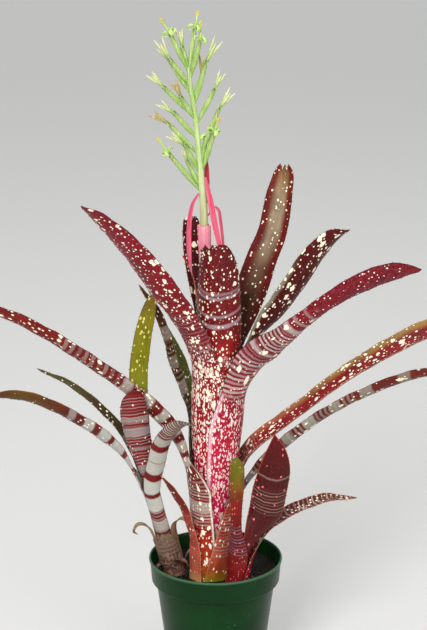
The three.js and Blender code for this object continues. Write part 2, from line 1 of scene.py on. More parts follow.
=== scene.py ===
import bmesh
import bpy
import math
import numpy as np
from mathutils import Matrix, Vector


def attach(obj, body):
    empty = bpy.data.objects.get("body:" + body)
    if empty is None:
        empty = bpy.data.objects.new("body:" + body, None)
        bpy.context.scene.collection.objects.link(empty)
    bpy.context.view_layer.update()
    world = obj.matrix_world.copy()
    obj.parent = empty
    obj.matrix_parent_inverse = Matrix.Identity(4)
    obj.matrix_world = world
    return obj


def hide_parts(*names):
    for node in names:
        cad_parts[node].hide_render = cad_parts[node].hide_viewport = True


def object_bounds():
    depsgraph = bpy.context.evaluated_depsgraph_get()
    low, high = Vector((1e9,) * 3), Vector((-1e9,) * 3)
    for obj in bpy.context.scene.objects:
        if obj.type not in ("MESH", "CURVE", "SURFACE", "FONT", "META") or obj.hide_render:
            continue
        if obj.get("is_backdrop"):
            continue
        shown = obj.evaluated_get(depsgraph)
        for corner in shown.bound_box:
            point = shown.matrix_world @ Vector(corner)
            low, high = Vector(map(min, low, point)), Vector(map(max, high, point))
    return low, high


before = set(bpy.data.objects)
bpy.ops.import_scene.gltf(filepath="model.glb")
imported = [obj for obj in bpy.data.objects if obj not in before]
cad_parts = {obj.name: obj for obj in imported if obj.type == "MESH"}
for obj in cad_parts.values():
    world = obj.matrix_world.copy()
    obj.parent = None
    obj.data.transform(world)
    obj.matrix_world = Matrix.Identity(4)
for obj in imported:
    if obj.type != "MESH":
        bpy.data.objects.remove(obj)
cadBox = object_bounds()

# The part's own measures, in millimetres, as its solids have them. Meshes are made in metres at the end.
mm = 0.001
rootDepth = 8
soilLevel = 105
leafThickness = 0.8

shoots = {
    "main": {"at": (-5, -8), "tilt": 2, "layer": 6, "pitch": 1.45,
             "heights": [-8, 16, 40, 80, 110, 150, 200],
             "radii": [12.2, 12.6, 13, 16.2, 20.4, 23.8, 24.6]},
    "leftPup": {"at": (-40, -2), "tilt": -13, "layer": 0, "pitch": 1.35,
                "heights": [-8, 60, 110], "radii": [10.2, 10.6, 11.4]},
    "rightPup": {"at": (19.5, -38), "tilt": 6, "layer": 0, "pitch": 1.35,
                 "heights": [-8, 60], "radii": [12.4, 12.6]},
}


def polar(azimuth, radius, height):
    turn = np.radians(azimuth)
    return np.stack(np.broadcast_arrays(radius * np.sin(turn), -radius * np.cos(turn), height), axis=-1)


def inShoot(shoot, points):
    # From a shoot's own upright frame to the plant's, leaning as the shoot does.
    lean = math.radians(shoot["tilt"])
    x, y, z = points[..., 0], points[..., 1], points[..., 2]
    turned = [x * math.cos(lean) + z * math.sin(lean), y, z * math.cos(lean) - x * math.sin(lean)]
    return np.stack(turned, axis=-1) + np.array([*shoot["at"], soilLevel])


def unit(vectors):
    return vectors / np.maximum(np.linalg.norm(vectors, axis=-1, keepdims=True), 1e-9)


def smoothRow(values, u):
    # Smooth curve through evenly spaced values.
    values = np.asarray(values, float)
    last = len(values) - 1
    place = np.clip(u, 0, 1) * last
    index = np.minimum(place.astype(int), last - 1)
    t = place - index
    a, b, c, d = (values[np.clip(index + k, 0, last)] for k in (-1, 0, 1, 2))
    return 0.5 * (2 * b + (c - a) * t + (2 * a - 5 * b + 4 * c - d) * t**2 + (3 * b - a - 3 * c + d) * t**3)


def spinePoint(points, u):
    # Smooth path through points that lie at uneven distances.
    points = np.asarray(points, float)
    ends = np.vstack([2 * points[0] - points[1], points, 2 * points[-1] - points[-2]])
    last = len(points) - 1
    place = np.clip(u, 0, 1) * last
    index = np.minimum(place.astype(int), last - 1)
    w = (place - index)[:, None]
    a, b, c, d = (ends[index + k] for k in range(4))
    gap = lambda p, q: np.maximum(np.sum((p - q) ** 2, axis=1), 1e-9)[:, None] ** 0.25
    ab, bc, cd = gap(a, b), gap(b, c), gap(c, d)
    start = ((b - a) / ab - (c - a) / (ab + bc) + (c - b) / bc) * bc
    end = ((c - b) / bc - (d - b) / (bc + cd) + (d - c) / cd) * bc
    return b + start * w + (3 * (c - b) - 2 * start - end) * w**2 + (2 * (b - c) + start + end) * w**3


def spineTangent(points, u):
    return unit(spinePoint(points, u + 1e-4) - spinePoint(points, u - 1e-4))


def evenSteps(points, spacing, least=8):
    # Even steps along a path, as places on it and the distance covered at each.
    fine = np.linspace(0, 1, 600)
    path = spinePoint(points, fine)
    covered = np.concatenate([[0], np.cumsum(np.linalg.norm(np.diff(path, axis=0), axis=1))])
    count = max(int(covered[-1] / spacing), least)
    along = np.linspace(0, covered[-1], count + 1)
    return np.interp(along, covered, fine), along


def placed(name, data):
    made = bpy.data.objects.new(name, data)
    bpy.context.scene.collection.objects.link(made)
    return made


def meshObject(name, points, faces, smooth=50):
    mesh = bpy.data.meshes.new(name)
    mesh.from_pydata((np.asarray(points) * mm).tolist(), [], faces)
    mesh.update()
    mesh.shade_smooth()
    mesh.set_sharp_from_angle(angle=math.radians(smooth))
    return placed(name, mesh)


def pointVectors(made, name, values):
    layer = made.data.attributes.new(name, "FLOAT_VECTOR", "POINT")
    layer.data.foreach_set("vector", np.asarray(values, dtype=np.float32).ravel())


def faceOut(made):
    shape = bmesh.new()
    shape.from_mesh(made.data)
    bmesh.ops.recalc_face_normals(shape, faces=shape.faces)
    shape.to_mesh(made.data)
    shape.free()
    made.data.update()


def finishPiece(made, slotName, *nodes):
    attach(made, "root")
    if nodes:
        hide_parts(*nodes)
    return made


def ringFaces(rings):
    # Faces between each ring of points and the next, as triangles where a ring is one point.
    faces = []
    for lower, upper in zip(rings, rings[1:]):
        corners = zip(lower, lower[1:] + lower[:1], upper[1:] + upper[:1], upper)
        faces += [tuple(dict.fromkeys(four)) for four in corners]
    return faces


def ringsOf(count, sides, first=0):
    return [list(range(first + i * sides, first + (i + 1) * sides)) for i in range(count)]


class Shading:
    # A short way to write a material's nodes: every step takes sockets or plain values.
    def __init__(self, name):
        self.material = bpy.data.materials.new(name)
        self.material.use_nodes = True
        self.tree = self.material.node_tree
        self.shader = self.tree.nodes["Principled BSDF"]

    def put(self, socket, value):
        if isinstance(value, bpy.types.NodeSocket):
            self.tree.links.new(value, socket)
        else:
            socket.default_value = value

    def node(self, kind, inputs=None, **settings):
        made = self.tree.nodes.new("ShaderNode" + kind)
        for key, value in settings.items():
            setattr(made, key, value)
        for key, value in (inputs or {}).items():
            self.put(made.inputs[key], value)
        return made

    def calc(self, operation, *values):
        return self.node("Math", dict(enumerate(values)), operation=operation).outputs[0]

    def add(self, a, b):
        return self.calc("ADD", a, b)

    def times(self, a, b):
        return self.calc("MULTIPLY", a, b)

    def less(self, a, b):
        return self.calc("SUBTRACT", a, b)

    def ease(self, value, low, high, start=0.0, end=1.0):
        inputs = {"Value": value, "From Min": low, "From Max": high, "To Min": start, "To Max": end}
        return self.node("MapRange", inputs, interpolation_type="SMOOTHSTEP").outputs["Result"]

    def mix(self, share, a, b):
        return self.node("Mix", {0: share, 6: a, 7: b}, data_type="RGBA").outputs[2]

    def paint(self, colour, code, share):
        return self.mix(share, colour, tint(code))

    def ramp(self, value, stops):
        made = self.node("ValToRGB", {0: value})
        elements = made.color_ramp.elements
        while len(elements) < len(stops):
            elements.new(1.0)
        for element, (place, shade) in zip(elements, stops):
            element.position = place
            element.color = shade
        return made.outputs[0]

    def join(self, x=0.0, y=0.0, z=0.0):
        return self.node("CombineXYZ", {0: x, 1: y, 2: z}).outputs[0]

    def split(self, vector):
        return self.node("SeparateXYZ", {0: vector}).outputs

    def stretched(self, vector, *factors):
        return self.join(*[self.times(part, factor) for part, factor in zip(self.split(vector), factors)])

    def attribute(self, name, output="Vector"):
        return self.node("Attribute", attribute_name=name).outputs[output]

    def objectPlace(self):
        return self.node("TexCoord").outputs["Object"]

    def noise(self, vector, scale=1.0, detail=2.0, roughness=0.5):
        inputs = {"Vector": vector, "Scale": scale, "Detail": detail, "Roughness": roughness}
        return self.node("TexNoise", inputs).outputs["Fac"]

    def cells(self, vector):
        return self.node("TexVoronoi", {"Vector": vector, "Scale": 1.0}, voronoi_dimensions="2D").outputs

    def bump(self, height, strength, distance, under=None):
        inputs = {"Height": height, "Strength": strength, "Distance": distance}
        if under is not None:
            inputs["Normal"] = under
        return self.node("Bump", inputs).outputs[0]

    def finish(self, **inputs):
        for key, value in inputs.items():
            self.put(self.shader.inputs[key.replace("_", " ")], value)
        return self.material


def tint(code, less=0.0):
    # A colour written as on a paint chart, in the light values that Blender works in.
    parts = [int(code[i:i + 2], 16) / 255 for i in (0, 2, 4)]
    linear = [c / 12.92 if c <= 0.04045 else ((c + 0.055) / 1.055) ** 2.4 for c in parts]
    return (*[max(c - less, c * 0.15) for c in linear], 1.0)


def tones(text, length=1.0, less=0.0):
    # A ramp's stops, written as "place code, place code" with the places in parts of the length.
    pairs = [stop.split() for stop in text.split(", ")]
    return [(min(float(place) / length, 1.0), tint(code, less)) for place, code in pairs]


leafFinish = {
    "grey": "b4a2a6",       # the scurf of the cross-bands
    "cream": "fbf0d4",      # the spots
    "fleck": "fbeee0",
    "patch": "f2e2c8",
    "shade": "2a0608",      # deeper patches of the blade's own colour
    "roughness": 0.4,
    "specular": 0.2,
    "gloss": 0.02,          # light that the skin adds of its own, taken off the tones
    "veinSpacing": 0.8,     # mm between the fine ribs along a leaf
    "warp": 1.3,            # mm that a band wanders
    "blot": 1.7,            # mm that a spot's outline is pulled about
    "bandEdge": 1.2,        # mm in which a band fades out
}


def spotMask(s, place, size, stretch, amount, seed, wobble, reach=0.4, clump=1.0):
    # One rounded spot in some of the cells of a net, of a size drawn for each cell.
    steps = ((place[0], size, seed), (place[1], size * stretch, seed * 1.7))
    found = s.cells(s.join(*[s.calc("MULTIPLY_ADD", value, 1 / step, shift) for value, step, shift in steps]))
    drawn = s.node("SeparateColor", {0: found["Color"]}).outputs[0]
    kept = s.calc("MAXIMUM", s.calc("MULTIPLY_ADD", drawn, -1 / amount, 1.0), 0.0)
    limit = s.calc("MULTIPLY_ADD", s.times(s.calc("POWER", kept, 0.6), clump), reach, -0.06)
    edge = s.add(found["Distance"], s.times(s.less(wobble, 0.5), 0.18))
    return s.ease(s.less(limit, edge), -0.03, 0.05)


def windowMask(s, along, start, end, soft=6.0):
    return s.times(
        s.ease(along, start - soft, start + soft), s.ease(along, end - soft, end + soft, 1.0, 0.0),
    )


def lineMask(s, along, spacing, share, start, end, strength, seed):
    # Evenly spaced thin cross-lines, each of its own weight.
    turns = s.calc("MULTIPLY_ADD", along, 1 / spacing, seed)
    off = s.calc("ABSOLUTE", s.less(s.calc("FRACT", turns), 0.5))
    line = s.ease(off, share / 2 - 0.08, share / 2 + 0.08, 1.0, 0.0)
    weight = s.ease(s.noise(s.join(0.0, s.calc("FLOOR", turns), seed), 0.83, 0.0), 0.3, 0.6, 0.35, 1.0)
    return s.times(s.times(line, weight), s.times(windowMask(s, along, start, end, 3.0), strength))


def bandMask(s, share, bands, length):
    # Cross-bands, each with its middle, half its width and its strength.
    stops = [(0.0, 0.0)]
    for centre, half, strength in sorted(bands):
        soft = min(leafFinish["bandEdge"], half * 0.6)
        for off, value in ((-half - soft, 0.0), (-half, strength), (half, strength), (half + soft, 0.0)):
            stops.append((max((centre + off) / length, stops[-1][0] + 1e-4), value))
    return s.ramp(share, [(place, (value, value, value, 1.0)) for place, value in stops])


def leafTones(s, look, share, length):
    return [s.ramp(share, tones(look[key], length, leafFinish["gloss"])) for key in ("outer", "inner")]


def leafMaterial(name, look, length, seed):
    s = Shading(name)
    across, along, side = s.split(s.attribute("leafPlace"))
    middle, share, margin = s.split(s.attribute("leafShare"))

    def grainAt(x, y, shift, *kind):
        return s.noise(s.join(s.times(across, x), s.times(along, y), seed + shift), *kind)

    broad = grainAt(0.09, 0.05, 0)
    fine = grainAt(1, 1, 3, 0.55, 3.0, 0.6)
    rough = grainAt(1, 1, 11, 0.6, 1.0)
    wander = s.calc("MULTIPLY_ADD", s.less(grainAt(0.16, 0.08, 7), 0.5), 2 * leafFinish["warp"], along)
    wander = s.calc("MULTIPLY_ADD", s.times(middle, middle), -look.get("smile", 2.0), wander)
    straight = (across, along)
    pull = [s.less(grainAt(1, 1, shift, 0.2, 1.0), 0.5) for shift in (13, 17)]
    blotted = [s.add(way, s.times(part, 2 * leafFinish["blot"])) for way, part in zip(straight, pull)]

    outer, inner = leafTones(s, look, share, length)
    if "core" in look:
        core = s.ramp(share, tones(look["core"], length))
        off = s.add(s.calc("ABSOLUTE", middle), s.times(s.less(fine, 0.5), 0.25))
        inner = s.mix(s.ease(off, 0.25, 0.7), core, inner)
    if "half" in look:
        low, high, code, start, end = look["half"]
        strip = s.ease(s.add(middle, s.times(s.less(fine, 0.5), 0.2)), low, high)
        strip = s.times(strip, windowMask(s, along, start, end, 20.0))
        outer, inner = s.paint(outer, code, strip), s.paint(inner, code, strip)
    colour = s.mix(side, outer, inner)
    colour = s.paint(colour, look.get("shade", leafFinish["shade"]), s.ease(broad, 0.38, 0.72, 0.0, 0.4))
    streak = grainAt(1 / leafFinish["veinSpacing"], 0.02, 0, 1.0, 1.0)
    streakShare = s.ease(streak, 0.35, 0.7, 0.0, 0.07 + 0.25 * look.get("streak", 0))
    colour = s.paint(colour, look.get("glow", "a03c30"), streakShare)
    mottle = s.ease(grainAt(1, 0.6, 23, 0.9, 3.0, 0.65), 0.48, 0.68, 0.0, look.get("mottle", 0.35) / 2)
    colour = s.paint(colour, look.get("glow", "c0283a"), mottle)

    raised = []
    grain = s.ease(fine, 0.25, 0.6, 0.8, 1.0)
    masks = [lineMask(s, wander, *line, seed + i * 0.37) for i, line in enumerate(look.get("lines", []))]
    if "bands" in look:
        masks.append(bandMask(s, s.times(wander, 1 / length), look["bands"], length))
    for mask in masks:
        mask = s.times(mask, grain)
        colour = s.paint(colour, look.get("bandTone", leafFinish["grey"]), mask)
        raised.append(mask)
    if "margin" in look:
        code, width, start, end = look["margin"]
        pale = s.ease(margin, width * 0.5, width, 0.75, 0.0)
        colour = s.paint(colour, code, s.times(pale, windowMask(s, along, start, end, 12.0)))
    if "patches" in look:
        amount, size, stretch, start, end = look["patches"]
        patch = spotMask(s, blotted, size, stretch, amount, seed + 1.7, rough, 0.5)
        colour = s.paint(colour, leafFinish["patch"], s.times(patch, windowMask(s, along, start, end, 14.0)))
    if "flecks" in look:
        amount, size, stretch, start, end = look["flecks"]
        window = windowMask(s, along, start, end, 16.0)
        for k, place in enumerate((straight, blotted)):
            fleck = spotMask(s, place, size * (1 + 0.7 * k), stretch, amount, seed + 5.3 + k, rough)
            colour = s.paint(colour, look.get("fleckTone", leafFinish["fleck"]), s.times(fleck, window))
    clump = s.ease(broad, 0.36, 0.56, 1.1, 0.35) if look.get("clumped") else 1.0
    for key, place, reach, gather in (("dots", straight, 0.36, 1.0), ("spots", blotted, 0.46, clump)):
        if key in look:
            amount, size, stretch = look[key]
            spot = spotMask(s, place, size, stretch, amount, seed + reach * 9, rough, reach, gather)
            if key == "spots":
                spot = s.times(spot, windowMask(s, along, *look.get("spotRange", (-20, 600)), 16.0))
            colour = s.paint(colour, look.get("dotTone", leafFinish["cream"]), spot)
            raised.append(s.times(spot, 0.6))
    if "hole" in look:
        x, y, radius = look["hole"]
        off = (s.add(across, -x), s.times(s.add(along, -y), 0.5))
        away = s.calc("SQRT", s.add(*[s.times(part, part) for part in off]))
        colour = s.paint(colour, "e8cfae", s.ease(away, radius, radius * 1.25, 1.0, 0.0))
        colour = s.paint(colour, "1a0d08", s.ease(away, radius * 0.5, radius * 0.62, 1.0, 0.0))
    code, width = look["edge"]
    colour = s.paint(colour, code, s.ease(margin, width * 0.4, width * 1.3, 0.85, 0.0))

    relief = s.add(s.times(streak, 0.6), s.times(fine, 0.4))
    for mask in raised:
        relief = s.calc("MULTIPLY_ADD", mask, 0.35, relief)
    base = leafFinish["roughness"] + (0.3 if look.get("dull") else 0.0)
    return s.finish(Base_Color=colour, Roughness=s.ease(fine, 0.2, 0.8, base - 0.06, base + 0.16),
                    Specular_IOR_Level=leafFinish["specular"], Normal=s.bump(relief, 0.4, 0.0003))


def leafRows(shoot, leaf):
    # The wrapped sheath's rows and the free blade's, as one path with its widths and turns.
    top, foot, end = leaf["sheath"]
    heights = np.array([h for h in shoot["heights"] if h < top - 6] + [top], float)
    share = (heights + rootDepth) / (top + rootDepth)
    outward = (shoot["layer"] - leaf["layer"]) * shoot["pitch"]
    radius = np.interp(heights, shoot["heights"], shoot["radii"]) + outward
    azimuth, half = (foot[k] + (end[k] - foot[k]) * share for k in (0, 1))
    blade = np.array(leaf["blade"], float)
    steps = np.arange(len(blade))
    twist = np.interp(steps, [0, len(blade) - 1], leaf["twist"]) * np.minimum(steps / 2, 1)
    zeros = np.zeros(len(heights))
    return {
        "point": np.vstack([polar(azimuth, radius, heights), polar(blade[:, 0], blade[:, 1], blade[:, 2])]),
        "azimuth": np.concatenate([azimuth, blade[:, 0]]),
        "halfAngle": np.concatenate([half, blade[:, 4]]),
        "width": np.concatenate([2 * np.radians(half) * radius, blade[:, 3]]),
        "twist": np.concatenate([zeros, twist]),
        "open": np.concatenate([zeros, np.ones(len(blade))]),
    }


def leafSection(rows, u, shares, depth, widthShare, lift):
    # One skin of a leaf: round the shoot where it is a sheath, on its own curve where it is free.
    point = spinePoint(rows["point"], u)
    tangent = spineTangent(rows["point"], u)
    turns = [np.radians(smoothRow(rows[key], u))[:, None] for key in ("azimuth", "twist", "halfAngle")]
    azimuth, twist, bend = turns
    level = np.concatenate([np.cos(azimuth), np.sin(azimuth), 0 * azimuth], axis=1)
    level = unit(level - tangent * np.sum(level * tangent, axis=1, keepdims=True))
    side = level * np.cos(twist) - np.cross(tangent, level) * np.sin(twist)
    outward = np.cross(side, tangent)
    bendRadius = smoothRow(rows["width"], u)[:, None] / (2 * bend)
    angle = bend * shares[None, :] * widthShare[:, None]
    inside = bendRadius - depth
    free = point[:, None] + side[:, None] * (inside * np.sin(angle))[..., None]
    free = free + outward[:, None] * (inside * np.cos(angle) - bendRadius + lift)[..., None]
    facing = np.degrees(np.arctan2(point[:, 0], -point[:, 1]))[:, None] + np.degrees(angle)
    axisRadius = np.hypot(point[:, 0], point[:, 1])[:, None] - depth
    wrapped = polar(facing, axisRadius, point[:, 2:3])
    freeShare = np.clip(smoothRow(rows["open"], u), 0, 1)[:, None, None]
    return wrapped + (free - wrapped) * freeShare, side


def stripFaces(rowCount, columns):
    # Two grids of points, outer then inner, closed round their rims.
    size = rowCount * columns
    faces = []
    for i in range(rowCount - 1):
        left, right = i * columns, i * columns + columns - 1
        for a in range(left, right):
            b, c, d = a + 1, a + columns + 1, a + columns
            faces.append((a, b, c, d))
            faces.append((size + d, size + c, size + b, size + a))
        faces.append((right, size + right, size + right + columns, right + columns))
        faces.append((size + left, left, left + columns, size + left + columns))
    tail = (rowCount - 1) * columns
    for j in range(columns - 1):
        faces.append((size + j, size + j + 1, j + 1, j))
        faces.append((tail + j, tail + j + 1, size + tail + j + 1, size + tail + j))
    return faces


def markLeaf(made, halfWidth, shares, along):
    # Each point knows its place on the leaf, in mm and as shares, for the finish to follow.
    across = halfWidth[:, None] * shares[None, :]
    onward = np.broadcast_to(along[:, None], across.shape)
    shareAcross = np.broadcast_to(shares[None, :], across.shape)
    toRim = halfWidth[:, None] * (1 - np.abs(shares[None, :]))
    places = [np.stack([across, onward, np.full_like(across, face)], axis=-1) for face in (0.0, 1.0)]
    portions = np.stack([shareAcross, onward / along[-1], toRim], axis=-1)
    pointVectors(made, "leafPlace", places)
    pointVectors(made, "leafShare", [portions, portions])


leafCut = {
    "spacing": 2.6, "across": 14, "crowding": 0.85, "rimThickness": 0.28, "ripple": 0.35, "rippleLength": 34,
    "waverLength": 19, "pointLength": 9, "bluntLength": 3, "tornBack": 3.0, "tornRows": (
        0.1, 0.35, 0.7, 1.0,
    ),
}


def tipShape(along, length, kind):
    # How much of the width is left near the tip: drawn out to a point, or cut off blunt.
    if kind == "pointed":
        left = np.clip((length - along) / leafCut["pointLength"], 0, 1)
        return np.maximum(np.sqrt(1 - (1 - left) ** 2), 0.08)
    return 0.72 + 0.28 * np.sqrt(np.clip((length - along) / leafCut["bluntLength"], 0, 1))


def growLeaf(name, shoot, leaf, seed):
    rows = leafRows(shoot, leaf)
    u, along = evenSteps(rows["point"], leafCut["spacing"])
    length = along[-1]
    shares = np.linspace(-1, 1, leafCut["across"] + 1)
    shares = np.sign(shares) * np.abs(shares) ** leafCut["crowding"]
    toRim = np.abs(shares)[None, :]
    opened = np.clip(smoothRow(rows["open"], u), 0, 1)[:, None]
    wave = np.sin(2 * math.pi * along / leafCut["rippleLength"] + seed)[:, None] * toRim**2
    waver = np.sin(2 * math.pi * along / leafCut["waverLength"] + 2 * seed)[:, None]
    lift = (wave + 0.5 * waver * shares[None, :]) * leafCut["ripple"] * opened
    cut = tipShape(along, length, leaf.get("tip", "pointed"))
    ragged = 1.6 * np.sin(7 * shares + seed) + 1.1 * np.sin(17 * shares + 3 * seed) - leafCut["tornBack"]
    fading = np.array(leafCut["tornRows"])[:, None, None]
    thickness = leafThickness - (leafThickness - leafCut["rimThickness"]) * toRim**3
    grids = []
    for depth in (0 * thickness, thickness):
        grid, side = leafSection(rows, u, shares, depth, cut, lift)
        if leaf.get("tip") == "torn":
            last = spineTangent(rows["point"], u[-len(fading):])
            grid[-len(fading):] += last[:, None] * ragged[None, :, None] * fading
        grids.append(grid)
    world = np.concatenate([inShoot(shoot, grid).reshape(-1, 3) for grid in grids])
    made = meshObject(name, world, stripFaces(len(u), len(shares)))
    markLeaf(made, smoothRow(rows["width"], u) / 2 * cut, shares, along)
    made.data.materials.append(leafMaterial(name + "Finish", leaf["look"], length, seed))
    teethFrom = leaf.get("teethFrom", 0.45)
    if teethFrom < 1:
        keepRows = np.nonzero(along > teethFrom * length)[0][:-2]
        for column, sign in ((0, -1), (-1, 1)):
            edgePoints = inShoot(shoot, grids[0][keepRows, column])
            outside = inShoot(shoot, grids[0][keepRows, column] + sign * side[keepRows]) - edgePoints
            rimPaths.append((edgePoints, unit(outside)))
    return made


